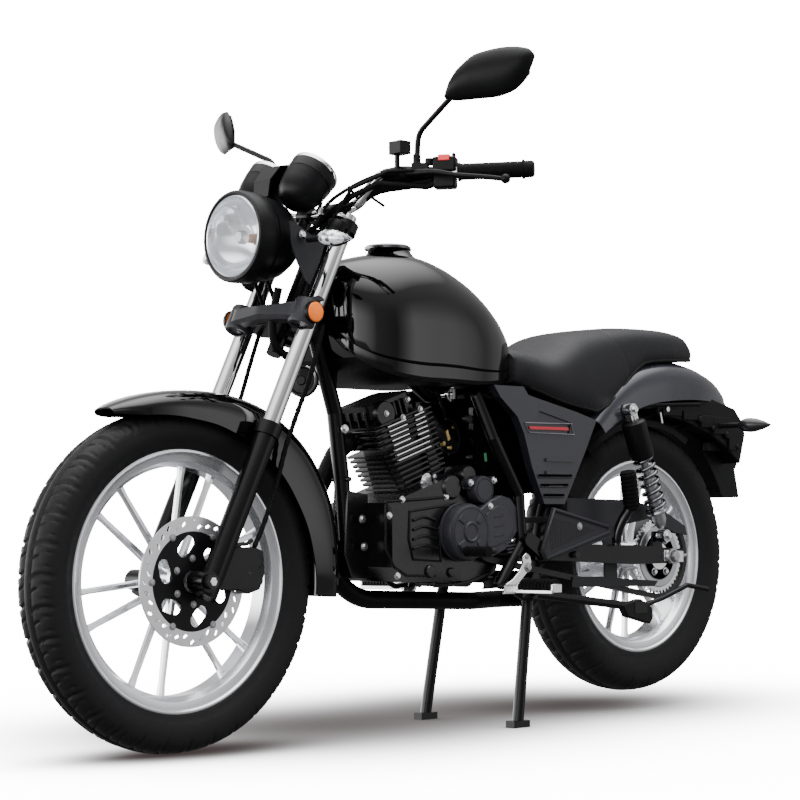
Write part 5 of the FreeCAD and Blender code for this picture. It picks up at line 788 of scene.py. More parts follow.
TEARDROP = [(0.0, 0.30), (0.04, 0.52), (0.12, 0.78), (0.25, 0.97), (0.40, 1.0), (0.58, 0.86), (0.75, 0.62),
            (0.90, 0.32), (0.97, 0.14), (1.0, 0.03)]
# Each pair: name, root, tip, inner end of the stalk, where the lens faces, how far it must face there, body
SIGNALS = (("front", (1063, 150, 966), (1046, 226, 957), (1057, 112, 967), Vector((0.9, 0, 0.5)), 0.05, "steering"),
           ("rear", (-234, 158, 647), (-262, 230, 646), (-236, 64, 648), Vector((-0.9, 0, -0.3)), 0.5, "frame"))


def add_headlamp():
    face = at(1150, 0, 976)
    turned("headlamp_bowl", LAMP_BOWL, face, AHEAD, "satin_black", "steering", replaces=["headlamp_shell"], crease=25)
    turned("headlamp_lens_dome", LAMP_DOME, face, AHEAD, "lens", "steering", replaces=["headlamp_lens"], crease=60)
    turned("headlamp_trim", LAMP_TRIM, face, AHEAD, "reflector", "steering", closed=True)
    bm = lathe(bmesh.new(), LAMP_MIRROR, face, AHEAD, 60)
    for vert in bm.verts:
        out = vert.co - face
        if 0.02 < abs(out.y) < 0.075 and out.z > 0.012:
            vert.co.x += 0.0016 * (1 if round(out.y / (9 * MM)) % 2 else -1)
    piece("headlamp_reflector", bm, "reflector", "steering", crease=18)
    turned("headlamp_bulb", LAMP_BULB, face - AHEAD * (48 * MM), AHEAD, "bulb", "steering", 24)
    turned("headlamp_bulb_cap", BULB_CAP, face - AHEAD * (16 * MM), AHEAD, "steel", "steering", 24)
    bolts("headlamp_bolts", [at(1067, 106.5, 976)], LEFT, "bright_steel", "steering", 6, 5)
    bolts("headlamp_bolts_right", [at(1067, -106.5, 976)], -LEFT, "bright_steel", "steering", 6, 5)


def teardrop(name, root, tip, radius, body, replaces):
    """A lamp body swept from its root to a point; its second finish is for the lens."""
    way = tip - root
    across = way.cross(UP).normalized()
    rows = [circle(root + way * t, across, UP, radius * share, 20) for t, share in TEARDROP]
    return piece(name, skin(bmesh.new(), rows), ["signal_dark", "signal_lens"], body, crease=60, replaces=replaces)


def add_signals():
    for word, *places, lens_way, limit, body in SIGNALS:
        for side, hand in HANDS:
            root, tip, inner = (at(x, side * y, z) for x, y, z in places)
            lamp_body = teardrop(f"{word}_signal_{hand}", root, tip, 17, body, told_once(side, f"{word}_signals"))
            for polygon in lamp_body.data.polygons:
                if polygon.normal.dot(lens_way) > limit and (polygon.center - root).length > 0.006:
                    polygon.material_index = 1
            tube(f"{word}_signal_stalk_{hand}", [inner, root.lerp(tip, 0.1)], 6.5, "matte_black", body)


# Dials

DIAL_TILT = radians(41)
DIAL_UP = Vector((-sin(DIAL_TILT), 0, cos(DIAL_TILT)))
DIAL_AHEAD = Vector((cos(DIAL_TILT), 0, sin(DIAL_TILT)))
DIAL_CUP = [(0, -92), (12, -91), (24, -87), (34, -79), (41, -66), (45.5, -48), (47.5, -30), (48.3, -26),
            (47.2, -25.2), (47.2, -24), (48.6, -23), (49, -6), (48.6, -1), (46, 0), (42, -1), (42, -6), (0, -6)]
DIAL_BEZEL = [(49.4, -1.5), (49.8, 3), (48.5, 7.5), (45.5, 9.2), (42.5, 8), (41.6, 4), (41.6, -1.5)]
# The bridge between the cups: distance ahead, distance up, half width
DIAL_BRIDGE = ((-20, -8, 30), (6, -4, 32), (34, -10, 31), (47, -26, 28), (46, -62, 24), (28, -88, 22), (-4, -96, 22))


def by_dials(side, up=0.0, ahead=0.0):
    return at(1000, side, 1108) + DIAL_UP * (up * MM) + DIAL_AHEAD * (ahead * MM)


def add_gauges():
    for side, hand in HANDS:
        face = by_dials(side * 64)
        turned(f"gauge_cup_{hand}", DIAL_CUP, face, DIAL_UP, "satin_black", "steering", crease=25,
               replaces=told_once(side, "gauge_cups"))
        turned(f"gauge_bezel_{hand}", DIAL_BEZEL, face, DIAL_UP, "chrome", "steering", closed=True,
               replaces=told_once(side, "gauge_rings"))
        turned(f"gauge_window_{hand}", [(42, 4), (30, 6), (15, 7), (0, 7.4)], face, DIAL_UP, "lens", "steering",
               crease=60, replaces=told_once(side, "gauge_glass"))
        add_dial(face, hand)
    rows = [[by_dials(half, up, ahead), by_dials(-half, up, ahead)] for ahead, up, half in DIAL_BRIDGE]
    piece("gauge_bridge", strip(bmesh.new(), rows), "satin_black", "steering", crease=20, wall=-0.003)
    bm = bmesh.new()
    for side, _ in HANDS:
        foot = on_fork(780, 50, side * 62)
        hose(bm, [foot, foot + STEER_UP * (18 * MM), by_dials(side * 62, -44)], 5, 10)
    piece("gauge_stays", bm, "black_steel", "steering", crease=60)
    bolts("gauge_bolts", [at(1008, 92, 1024)], Vector((0, 0.2, 1)), "bright_steel", "steering", 5, 12)


def add_dial(face, hand):
    turned(f"dial_face_{hand}", [(41.5, -4.5), (20, -4.4), (0, -4.4)], face, DIAL_UP, "dial", "steering")
    bm = bmesh.new()

    def mark(degrees, lift, outer, inner, radius, sides):
        way = LEFT * sin(radians(degrees)) - DIAL_AHEAD * cos(radians(degrees))
        base = face + DIAL_UP * (lift * MM)
        hose(bm, [base + way * (outer * MM), base + way * (inner * MM)], radius, sides)

    for k in range(25):
        mark(-130 + 260 * k / 24, -4.2, 38, 34.5 if k % 2 else 32, 0.5, 6)
    mark(-128, -3.2, 0, 30, [1.4, 0.4], 8)
    piece(f"dial_marks_{hand}", bm, "white_mark", "steering", crease=60)


# Mirrors

# Share of the width, then bottom, top and share of the depth
MIRROR_OUTLINE = [(0.0, 0, 8, 0.25), (0.06, -4, 34, 0.6), (0.16, -6, 58, 0.85), (0.34, -6, 81, 1.0), (0.6, -5, 89, 1.0),
                  (0.8, 6, 88, 0.95), (0.92, 30, 83, 0.8), (0.985, 52, 76, 0.5), (1.0, 62, 70, 0.2)]
MIRROR_FOOT = [(0, -4), (10, -4), (10, 10), (7.5, 12), (7.5, 26), (6, 28), (0, 28)]


def add_mirrors():
    for side, hand in HANDS:
        rows, edge = [], []
        for t in even(MIRROR_OUTLINE, 26):
            low, high, deep = table_at(MIRROR_OUTLINE, t)
            x, y = 889 - 84 * t, side * (321 + 152 * t)
            middle, half = 1231 + 4 * t + (low + high) / 2, (high - low) / 2
            row = []
            for k in range(20):
                angle = 2 * pi * k / 20
                front = cos(angle)
                depth = (24 if front > 0 else 5) * deep * front
                row.append(at(x + depth, y, middle + half * sin(angle) * (1 - 0.12 * max(0, front) ** 2)))
            rows.append(row)
            edge.append((x - 6.5, y, middle, half * 0.86))
        piece(f"mirror_head_{hand}", skin(bmesh.new(), rows), "satin_black", "steering", crease=60,
              replaces=told_once(side, "mirrors"))
        glass = [[at(x, y, middle + way * half) for x, y, middle, half in edge[2:-2]] for way in (1, -1)]
        piece(f"mirror_glass_{hand}", strip(bmesh.new(), glass), "mirror_face", "steering", wall=0.0012)
        base = at(864, side * 214, 1114)
        bends = [base, at(862, side * 216, 1182), at(884, side * 336, 1238), at(876, side * 352, 1256)]
        tube(f"mirror_stem_{hand}", bends, 5.5, "satin_black", "steering", share=0.3)
        turned(f"mirror_boss_{hand}", MIRROR_FOOT, base, UP, "matte_black", "steering", 20)


for make in (add_wheels, add_front_disc, add_tank, add_seat, add_fenders, add_headlamp, add_signals, add_gauges,
             add_mirrors):
    make()

# Small shapes


def oblong(bm, centre, u, v, w):
    """A box from its centre and three half edges."""
    box = Matrix.Translation(centre) @ Matrix((u, v, w)).transposed().to_4x4()
    bmesh.ops.create_cube(bm, size=2.0, matrix=box)


def mm(x, y, z):
    return Vector((x, y, z)) * MM


def leaning(bm, place, u, v, w):
    """A box at a bike place, from three half edges in millimetres."""
    oblong(bm, at(*place), mm(*u), mm(*v), mm(*w))


def block(bm, place, half):
    """A box square to the bike, from its middle and its half sizes."""
    leaning(bm, place, (half[0], 0, 0), (0, half[1], 0), (0, 0, half[2]))


def stub(r, low, high, trim=2, lip=2):
    """The section of a short round boss with its rim cut back."""
    return [(0, low), (r, low), (r, high), (r - trim, high + lip), (0, high + lip)]


def boss(bm, x, z, profile, steps):
    """A section spun about a line across the bike."""
    lathe(bm, profile, at(x, 0, z), LEFT, steps)


def straight(bm, points, radius, sides=8):
    hose(bm, [at(*point) for point in points], radius, sides)


def run(bm, points, radius, sides=10, count=8):
    """A cable or hose along a smooth line through bike places."""
    hose(bm, curved([at(*point) for point in points], count), radius, sides)


def loop(bm, outline, y, radius, sides=8):
    """A round moulding that follows a closed outline of (x, z) at a distance to the side."""
    line = [at(x, y, z) for x, z in outline]
    hose(bm, line + line[:2], radius, sides)


def spring(bm, low, high, coil_r, wire_r, turns, steps=14, sides=8):
    axis = high - low
    across, over = basis(axis)
    count = int(turns * steps)
    line = []
    for k in range(count + 1):
        angle = 2 * pi * k / steps
        line.append(low + axis * (k / count) + (across * cos(angle) + over * sin(angle)) * (coil_r * MM))
    hose(bm, line, wire_r, sides)


def build(name, finish, body, *shapes, **more):
    """A piece of small shapes; each is a maker and what it takes after the mesh."""
    bm = bmesh.new()
    for make, *given in shapes:
        make(bm, *given)
    return piece(name, bm, finish, body, **more)


# Engine

CYLINDER_TILT = radians(19)
CYLINDER_FOOT = (722, 492)
CYLINDER_UP = Vector((sin(CYLINDER_TILT), 0, cos(CYLINDER_TILT)))
CYLINDER_AHEAD = Vector((cos(CYLINDER_TILT), 0, -sin(CYLINDER_TILT)))
# Fins: along the cylinder, front end, rear end
LONG_FINS = [(71.5, 33, -64), (82.5, 34, -64), (93.5, 35, -66)]
SHORT_FINS = [(104 + 10 * k, 36 + k, -14) for k in range(5)]
REAR_FINS = [(104 + 10 * k, -36 - k, -68) for k in range(5)]
PLUG_AT = (696, 512)


def by_cylinder(along, ahead, side):
    """A place by the cylinder: distance up its line, ahead of it and to the side."""
    return at(CYLINDER_FOOT[0] + along * sin(CYLINDER_TILT) + ahead * cos(CYLINDER_TILT), side,
              CYLINDER_FOOT[1] + along * cos(CYLINDER_TILT) - ahead * sin(CYLINDER_TILT))


def fin(bm, along, ahead, side, half_ahead, half_side, half_up):
    oblong(bm, by_cylinder(along, ahead, side), CYLINDER_AHEAD * (half_ahead * MM), LEFT * (half_side * MM),
           CYLINDER_UP * (half_up * MM))


def add_cylinder_details():
    build("fin_edges", "fin_edge", "frame", *[
        (fin, along, (front + rear) / 2, 65, (front - rear) / 2, 3.2, 1.25)
        for along, front, rear in LONG_FINS + SHORT_FINS + REAR_FINS], crease=30, bevel=0.3)
    build("cylinder_rear_fins", "black_engine", "frame", (fin, 74, -74, 8, 16, 42, 66),
          *[(fin, 14 + 11 * k, -76, 10, 22, 50, 1.6) for k in range(13)], crease=30)
    ribs = [(fin, 106 + 10 * k, -25, 63.5, 10, 4, 2.0) for k in range(5)]
    ribs += [(fin, along, 57, 30, 15, 34, 2.2) for along in (108, 120, 132, 144)]
    ribs += [(fin, 168, 44 - 15 * k, 53, 2.4, 5.5, 17) for k in range(6)]
    ribs += [(fin, 168, 60, 36 - 24 * k, 5, 2.2, 15) for k in range(4)]
    build("head_ribs", "black_engine", "frame", *ribs, crease=30, bevel=1.0)
    turned("head_cap", [(0, 0), (24, 0), (26, -3), (26, -22), (0, -22)], by_cylinder(170, 30, 62), LEFT,
           "black_engine", "frame", 40)
    plug = at(PLUG_AT[0], 0, PLUG_AT[1])
    turned("cylinder_plug", [(0, 68.5), (9, 68.5), (10, 67), (12.5, 67), (13.5, 65.5), (13.5, 58), (0, 58)], plug, LEFT,
           "bright_steel", "frame", 32, crease=25)
    turned("plug_slot", [(0, 69.2), (5, 69.0), (5.5, 68.0), (0, 68.0)], plug, LEFT, "steel", "frame", 6)
    bolts("head_bolts", [by_cylinder(*place) for place in (
        (170, 30, 62), (150, -8, 66), (152, -60, 66), (178, -46, 52), (6, -20, 62), (6, -58, 62))],
        LEFT, "bright_steel", "frame", 4.6, 4.5)
    tap = [(0, 66), (5, 66), (6, 62), (14, 62), (16, 60), (16.5, 54), (14, 52), (7, 52), (7, 30), (0, 30)]
    turned("fuel_tap", tap, at(615, 0, 690), LEFT, "chrome", "frame", 36, crease=25)
    build("fuel_tap_lever", "steel", "frame", (block, (615, 65.5, 690), (2, 3, 11)), bevel=0.8)


STARTER = (578, 491)
STARTER_SECTION = [(0, 93), (29, 93), (29, 112), (27.5, 115.5), (25, 116.5), (23.6, 116.5), (23.2, 115.4),
                   (21.8, 115.4), (21.4, 116.6), (0, 117)]
ALTERNATOR = (630, 404)
ALTERNATOR_SECTION = [
    (0, 93), (57, 93), (60.5, 95), (60.5, 98.5), (58.8, 99.5), (58.8, 119), (56.5, 124.5), (51, 127.3), (49.6, 127.3),
    (49.2, 126.4), (48, 126.4), (47.6, 127.4), (22, 128), (21.6, 129.6), (20, 131), (17, 131), (15.6, 129.4),
    (14.8, 129), (0, 129.2)]
# The pads on the alternator: distance to the side, corners as (reach, half width)
PAD_LAYERS = ((126.5, ((25, -5.5), (25, 5.5), (46, 10.5), (46, -10.5))),
              (130.2, ((27, -4), (27, 4), (44.5, 8.6), (44.5, -8.6))))
DRIVE_COVER = [(630, 352), (630, 456), (596, 452), (566, 470), (537, 480), (508, 474), (486, 452), (478, 430),
               (484, 408), (508, 380), (524, 366), (562, 352)]
DRIVE_COVER_RIM = [(584, 441), (552, 458), (518, 454), (500, 430), (502, 404), (522, 384), (580, 368)]
CASE_WINDOW = [(771, 446), (700, 455), (660, 458), (672, 432), (690, 410), (684, 345), (762, 350), (774, 390)]
CASE_FACE = 92.5


def add_left_covers():
    centre = at(ALTERNATOR[0], 0, ALTERNATOR[1])
    turned("alternator_cover", ALTERNATOR_SECTION, centre, LEFT, "grey_engine", "frame", 80, crease=24,
           replaces=["left_covers"])
    pads = []
    for turn in (45, 135, 225, 315):
        way = facing(radians(turn))
        beside = way.cross(LEFT)
        pads.append((skin, [[centre + LEFT * (side * MM) + way * (r * MM) + beside * (w * MM) for r, w in corners]
                            for side, corners in PAD_LAYERS]))
    build("alternator_pads", "grey_engine", "frame", *pads, crease=20, bevel=0.7)
    turned("starter_cover", STARTER_SECTION, at(STARTER[0], 0, STARTER[1]), LEFT, "grey_engine", "frame", 48, crease=24)
    ears = [(boss, x, z, stub(9, 93, 110, 1, 1), 20) for x, z in ((614, 505), (545, 511), (570, 457), (484, 398))]
    ears += [(leaning, (x, 100, z), (12, 0, -3), (0, 8, 0), (2, 0, 6)) for x, z in ((606, 500), (554, 505))]
    build("cover_ears", "grey_engine", "frame", *ears, crease=24, bevel=0.8)
    bolts("cover_bolts", [at(614, 111, 505), at(545, 111, 511), at(570, 124, 457), at(481, 111, 398)], LEFT,
          "bright_steel", "frame", 5, 5)
    build("drive_cover", "grey_engine", "frame", (plate, DRIVE_COVER, 93, 124), crease=20, bevel=3.0)
    build("drive_cover_rim", "grey_engine", "frame", (plate, DRIVE_COVER_RIM, 123, 126), crease=20, bevel=1.6)
    build("drive_cover_marks", "black_engine", "frame", *[
        (leaning, (546, 126, z), (14, 0, -14 * 0.12), (0, 0.7, 0), (2.4 * 0.1, 0, 2.4)) for z in (437, 417, 397)],
        bevel=0.5)
    build("drive_cover_vents", "grey_engine", "frame", *[
        (leaning, (515 - 3 * k, 118, 388 - 6.5 * k), (14, 0, -2), (0, 7, 0), (0.2, 0, 1.8)) for k in range(5)],
          bevel=0.6)
    build("starter_motor", "black_engine", "frame",
          (boss, 652, 497, [(0, 40), (25, 40), (27, 46), (27, 92), (22, 98), (0, 99)], 36),
          (boss, 600, 522, [(0, 40), (20, 40), (21, 46), (21, 90), (17, 95), (0, 96)], 36), crease=40)


def add_case_details():
    edge = [(838, CASE_FACE, 466), (750, CASE_FACE, 470), (665, CASE_FACE, 476)]
    foot = [(x, CASE_FACE, z) for x, z in ((838, 460), (838, 372), (815, 336), (780, 318), (700, 316))]
    mouldings = [(loop, CASE_WINDOW, 92.6, 2.6), (straight, edge, 3.2), (straight, foot, 2.6)]
    for k in range(4):
        z = 432 - 19 * k
        mouldings.append((run, [(762, 92.4, z - 4), (732, 93.0, z + 3), (700 - 3 * k, 92.4, z - 3)], 3.4, 8, 6))
    mouldings += [(boss, x, z, stub(r, 91, 96), 24) for x, z, r in ((715, 325, 13), (655, 322, 10))]
    build("case_mouldings", "black_engine", "frame", *mouldings, crease=40)
    heads = [(bolt_into, at(x, CASE_FACE, z), LEFT, 5, 5) for x, z in ((828, 438), (806, 318), (792, 470), (668, 476))]
    heads += [(bolt_into, at(*place), LEFT, 6, 6) for place in ((846, 33, 431), (841, 33, 376), (890, 31, 611))]
    build("case_bolts", "bright_steel", "frame", *heads, crease=30)
    clutter = [(boss, x, z, stub(r, 40, 84, 2, 4), 18)
               for x, z, r in ((640, 309, 9), (560, 320, 11), (600, 312, 7), (700, 300, 6))]
    build("case_foot_clutter", "dark_metal", "frame", *clutter,
          (run, [(700, 70, 300), (640, 84, 296), (590, 92, 304), (540, 88, 318)], 4), crease=30)


def add_carburettor_details():
    side_plate = [(512, 512), (452, 512), (436, 470), (424, 420), (430, 376), (512, 350)]
    cross_plate = [(470, 520), (432, 520), (400, 470), (404, 430), (424, 392), (462, 380)]
    build("engine_rear_plates", "black_steel", "frame", (plate, side_plate, 36, 42), (plate, side_plate, -36, -42),
          (plate, cross_plate, -60, 60), crease=30, bevel=1.0)
    build("carburettor_brass", "brass", "frame",
          (leaning, (598, 30, 606), (3, 0, -2), (0, 1, 0), (4, 0, 10)),
          (leaning, (580, 32, 622), (8, 0, 1), (0, 1.5, 0), (0, 0, 3)),
          (boss, 612, 588, [(0, 24), (5, 24), (5, 33), (0, 34)], 12),
          (boss, 590, 580, [(0, 24), (4, 24), (4, 31), (0, 32)], 12), crease=30)
    build("carburettor_hoses", "rubber", "frame",
          (run, [(604, 30, 640), (585, 36, 632), (572, 38, 600), (578, 36, 574), (600, 33, 566)], 3.2),
          (run, [(640, 40, 700), (625, 44, 660), (620, 42, 640)], 4),
          (run, [(560, 60, 600), (540, 66, 560), (520, 66, 520), (505, 62, 500), (498, 60, 520)], 3), crease=60)
    clutter = [(boss, x, z, stub(r, 50, 62, 1.5, 2), 14)
               for x, z, r in ((566, 640, 9), (552, 620, 6), (548, 590, 8), (540, 560, 6), (560, 560, 5))]
    build("carburettor_clutter", "dark_metal", "frame", *clutter,
          (leaning, (552, 58, 640), (5, 0, 2), (0, 6, 0), (0, 0, 22)), crease=30)
    build("wire_plug", "plug_green", "frame", (leaning, (526, 68, 560), (4, 0, 0), (0, 2, 0), (1, 0, 9)), bevel=0.8)


# Side covers

STRIPE = [(472, 632), (325, 634), (318, 611), (460, 612)]
RED_STRIPE = [(461, 625), (338, 626), (335, 619.5), (458, 619)]
# Louvres: front end and rear end of each slot and of its lower edge
LOUVRE_SLOTS = (((430, 522), (328, 523)), ((422, 502), (341, 503)), ((413, 481), (354, 481)))
LOUVRE_EDGES = (((432, 517.5), (327, 518.5)), ((424, 497.5), (340, 498.5)), ((415, 476.5), (353, 476.5)))


def add_side_cover_details():
    build("cover_stripe_edge", "silver_line", "frame", (loop, STRIPE, 134.4, 1.1, 6), crease=60)
    build("cover_stripe", "red_line", "frame", (plate, RED_STRIPE, 133.2, 134.9))
    # The louvre slots are painted shade: pure black with no shine for their hollows
    for name, finish, ends, y, radius, sides in (
            ("cover_louvre_slots", "dark_void", LOUVRE_SLOTS, 134.6, 2.6, 10),
            ("cover_louvre_edges", "matte_grey", LOUVRE_EDGES, 134.8, 1.4, 8)):
        build(name, finish, "frame", *[(straight, [(x, y, z) for x, z in pair], radius, sides) for pair in ends],
              crease=60)


# Rear suspension

SHOCK_COVER = [(0, 26), (20, 26), (26.5, 30), (27, 38), (27, 108), (26, 112), (23, 112), (23, 60), (0, 60)]
SHOCK_BODY = [(0, 90), (9, 90), (9, 160), (15, 162), (15.5, 262), (13, 270), (8, 280), (0, 280)]
SHOCK_SEAT = [(15, 236), (24, 236), (25, 240), (23, 244), (15, 246)]
SHOCK_EYE = [(0, -11), (13.5, -11), (14, -8), (14, 8), (13.5, 11), (0, 11)]


def add_shocks():
    for side, hand in HANDS:
        top = at(147, side * 148, 670)
        foot = at(35, side * 148, 392)
        axis = (foot - top).normalized()
        out = LEFT * side
        turned(f"shock_cover_{hand}", SHOCK_COVER, top, axis, "satin_black", "frame", 40, crease=30,
               replaces=told_once(side, "shock_absorbers"))
        build(f"shock_spring_{hand}", "dark_chrome", "frame",
              (spring, top + axis * (108 * MM), top + axis * (238 * MM), 21, 4.2, 7.0), crease=60)
        turned(f"shock_body_{hand}", SHOCK_BODY, top, axis, "satin_silver", "frame", 28, crease=30)
        turned(f"shock_seat_{hand}", SHOCK_SEAT, top, axis, "bright_steel", "frame", 32, closed=True)
        eyes = []
        for place in (top, foot):
            eyes += [(lathe, SHOCK_EYE, place, out, 28), (bolt_into, place + out * (11 * MM), out, 7.5, 8)]
        build(f"shock_eyes_{hand}", "bright_steel", "frame", *eyes,
              (lathe, [(0, 4), (10, 4), (10, 30), (0, 30)], top, axis, 20),
              (oblong, top + axis * (18 * MM), axis * (14 * MM), LEFT * (8 * MM), axis.cross(LEFT) * (11 * MM)),
              crease=30)


# Drive

AXLE_Z = 346
TEETH = 44
TOOTH_REACH = (84, 84, 77, 77)
GUARD_OUTLINE = [(401, 449), (226, 412), (226, 400), (428, 346), (438, 366)]
SPROCKET_FACE = [(0, 104), (30, 104), (30, 107), (52, 107), (54, 105.4), (68, 105.4), (70, 104)]


def add_drive_details():
    build("guard_border", "guard_grey", "frame", (loop, GUARD_OUTLINE, 148.4, 5.0), crease=50)
    grain_ribs = []
    for k in range(30):
        x = 262 + 5.2 * k
        share = (x - 262) / (420 - 262)
        low = 408 - 46 * share
        high = 405 + 31 * share
        if high - low > 2:
            grain_ribs.append((block, (x, 149.7, (low + high) / 2), (1.0, 0.5, (high - low) / 2)))
    build("guard_grain", "guard_grey", "frame", *grain_ribs)
    build("guard_bolt", "steel", "frame", (bolt_into, at(321, 149.6, 414), LEFT, 5.5, 3), crease=30)
    adjusters = []
    for side, _ in HANDS:
        adjusters += [(leaning, (-8, side * 140.5, AXLE_Z), (34, 0, 1.5), (0, 1.6, 0), (0, 0, 12.5)),
                      (lathe, stub(17, 138, 146), at(0, 0, AXLE_Z), LEFT * side, 24),
                      (straight, [(-60, side * 137, 347), (-30, side * 137, 347)], 4, 10)]
    build("chain_adjusters", "bright_steel", "frame", *adjusters, crease=30, bevel=0.5)
    build("rear_axle_nuts", "steel", "frame", *[
        (bolt_into, at(0, side * 148, AXLE_Z), LEFT * side, 12, 10) for side, _ in HANDS], crease=30)
    outline = []
    for k in range(TEETH * 4):
        turn = 2 * pi * k / (TEETH * 4)
        outline.append((TOOTH_REACH[k % 4] * cos(turn), AXLE_Z + TOOTH_REACH[k % 4] * sin(turn)))
    build("sprocket_teeth", "bright_steel", "rear_wheel", (plate, outline, 98, 104),
          replaces=["rear_sprocket"], crease=20)
    turned("sprocket_face", SPROCKET_FACE, at(0, 0, AXLE_Z), LEFT, "satin_silver", "rear_wheel", 64, crease=25)
    bolts("sprocket_bolts", [at(40 * cos(k * pi / 3), 107, AXLE_Z + 40 * sin(k * pi / 3)) for k in range(6)], LEFT,
          "bright_steel", "rear_wheel", 6, 6)


# Foot controls

STAND_TANG = [(214, 244), (196, 218), (120, 200), (108, 214), (112, 236), (150, 256)]
PEG_HANGER = [(492, 360), (480, 354), (476, 342), (480, 326), (497, 312), (514, 298), (522, 276), (560, 276),
              (554, 296), (532, 306), (512, 322), (500, 340), (502, 352)]


def ribbed(start, end, count, first, pitch, high, deep, long=5.5, flat=2.0):
    """A rubber's section: ribs and grooves between two plain ends."""
    profile = list(start)
    for k in range(count):
        low = first + pitch * k
        profile += [(high, low), (high, low + long), (deep, low + long + 1), (deep, low + long + 1 + flat)]
    return profile + list(end)


def add_stand_tang():
    build("stand_tang", "satin_black", "side_stand", (plate, STAND_TANG, 158, 176), crease=30, bevel=3.0)


def add_pegs():
    for side, hand in HANDS:
        out = LEFT * side
        build(f"peg_hanger_{hand}", "bright_steel", "frame", (plate, PEG_HANGER, side * 146, side * 152),
              *[(block, (545, side * y, 290), (14, 3, 9)) for y in (186, 282)],
              (block, (558, side * 234, 283), (2.5, 50, 4)), (block, (547, side * 170, 288), (13, 19, 8)),
              crease=25, bevel=1.6, replaces=told_once(side, "rider_pegs"))
        rubber = ribbed([(0, 190), (13, 190)], [(13, 280), (0, 280)], 9, 193, 9.6, 15, 12.2, 6)
        turned(f"peg_rubber_{hand}", rubber, at(543, 0, 294), out, "rubber", "frame", 24, crease=25)
        build(f"peg_bolts_{hand}", "steel", "frame", (bolt_into, at(488, side * 152, 330), out, 7, 6),
              (bolt_into, at(490, side * 152, 352), out, 4, 2), crease=30)
        foot = at(172, side * 172, 450)
        top = at(196, side * 180, 534)
        rubber = ribbed([(0, 0), (14, 0)], [(16, 86), (0, 88)], 9, 4, 9, 18.5, 15.5)
        turned(f"pillion_rubber_{hand}", rubber, foot, (top - foot).normalized(), "rubber", "frame", 24, crease=25,
               replaces=told_once(side, "pillion_pegs"))
        line = [at(x, side * y, z) for x, y, z in ((196, 146, 372), (196, 150, 400), (190, 160, 428), (181, 170, 450))]
        tube(f"pillion_bracket_{hand}", line, [11, 10, 9.5] + [11] * 22, "gloss_steel", "frame", smooth=True)


def add_shift_lever():
    build("shift_arm", "dark_metal", "frame", (straight, [(572, 126, 366), (572, 141, 366)], 8, 14),
          (straight, [(572, 139, 366), (655, 139, 365)], 6, 12), crease=50, replaces=["shift_lever"])
    rubber = ribbed([(0, 136), (8, 136)], [(10.8, 196), (10.8, 201), (0, 202)], 7, 138, 8, 10.5, 8.6, 5, 1.5)
    turned("shift_rubber", rubber, at(655, 0, 365), LEFT, "rubber", "frame", 20, crease=25)


# Front end

LEG_SIDE = 95
BRACKET = [(1098, 105, 1000), (1080, 105, 996), (1035, 99, 978), (996, 90, 962), (1006, 88, 930), (1032, 88, 884),
           (1046, 92, 890), (1076, 101, 926), (1092, 105, 956)]
BRACKET_CLAMP = [(17.4, 0), (21, 0), (22, 2), (22, 22), (21, 24), (17.4, 24)]
STANCHION_TOP = [(0, 32), (9, 32), (11, 30), (11, 26), (16.5, 26), (18, 24), (18, 20)]
YOKE_CLAMP = [(17.4, 0), (23, 0), (24.5, 2), (24.5, 34), (23, 36), (17.4, 36)]
YOKE_CORNERS = [(-26, -72), (8, -84), (22, -60), (22, 60), (8, 84), (-26, 72), (-38, 30), (-38, -30)]
COVER_ALONG = 566
COVER_CHEEK = [(18, -28), (24, -28), (26, -24), (26, 20), (24, 24), (18, 24)]


def add_bracket():
    for side, hand in HANDS:
        bm = bmesh.new()
        face = bm.faces.new([bm.verts.new(at(x, side * y, z)) for x, y, z in BRACKET])
        draw_out(bm, [face], -side * 3)
        bmesh.ops.triangulate(bm, faces=[f for f in bm.faces if len(f.verts) > 4])
        piece(f"bracket_plate_{hand}", bm, "guard_grey", "steering", crease=25,
              replaces=told_once(side, "headlamp_bracket"))
        turned(f"bracket_clamp_{hand}", BRACKET_CLAMP, on_fork(744, FORK_OFFSET, side * LEG_SIDE), STEER_UP,
               "satin_black", "steering", 40, closed=True, crease=30)
        turned(f"stanchion_top_{hand}", STANCHION_TOP, on_fork(757, FORK_OFFSET, side * LEG_SIDE), STEER_UP,
               "bright_steel", "steering", 32, crease=25)


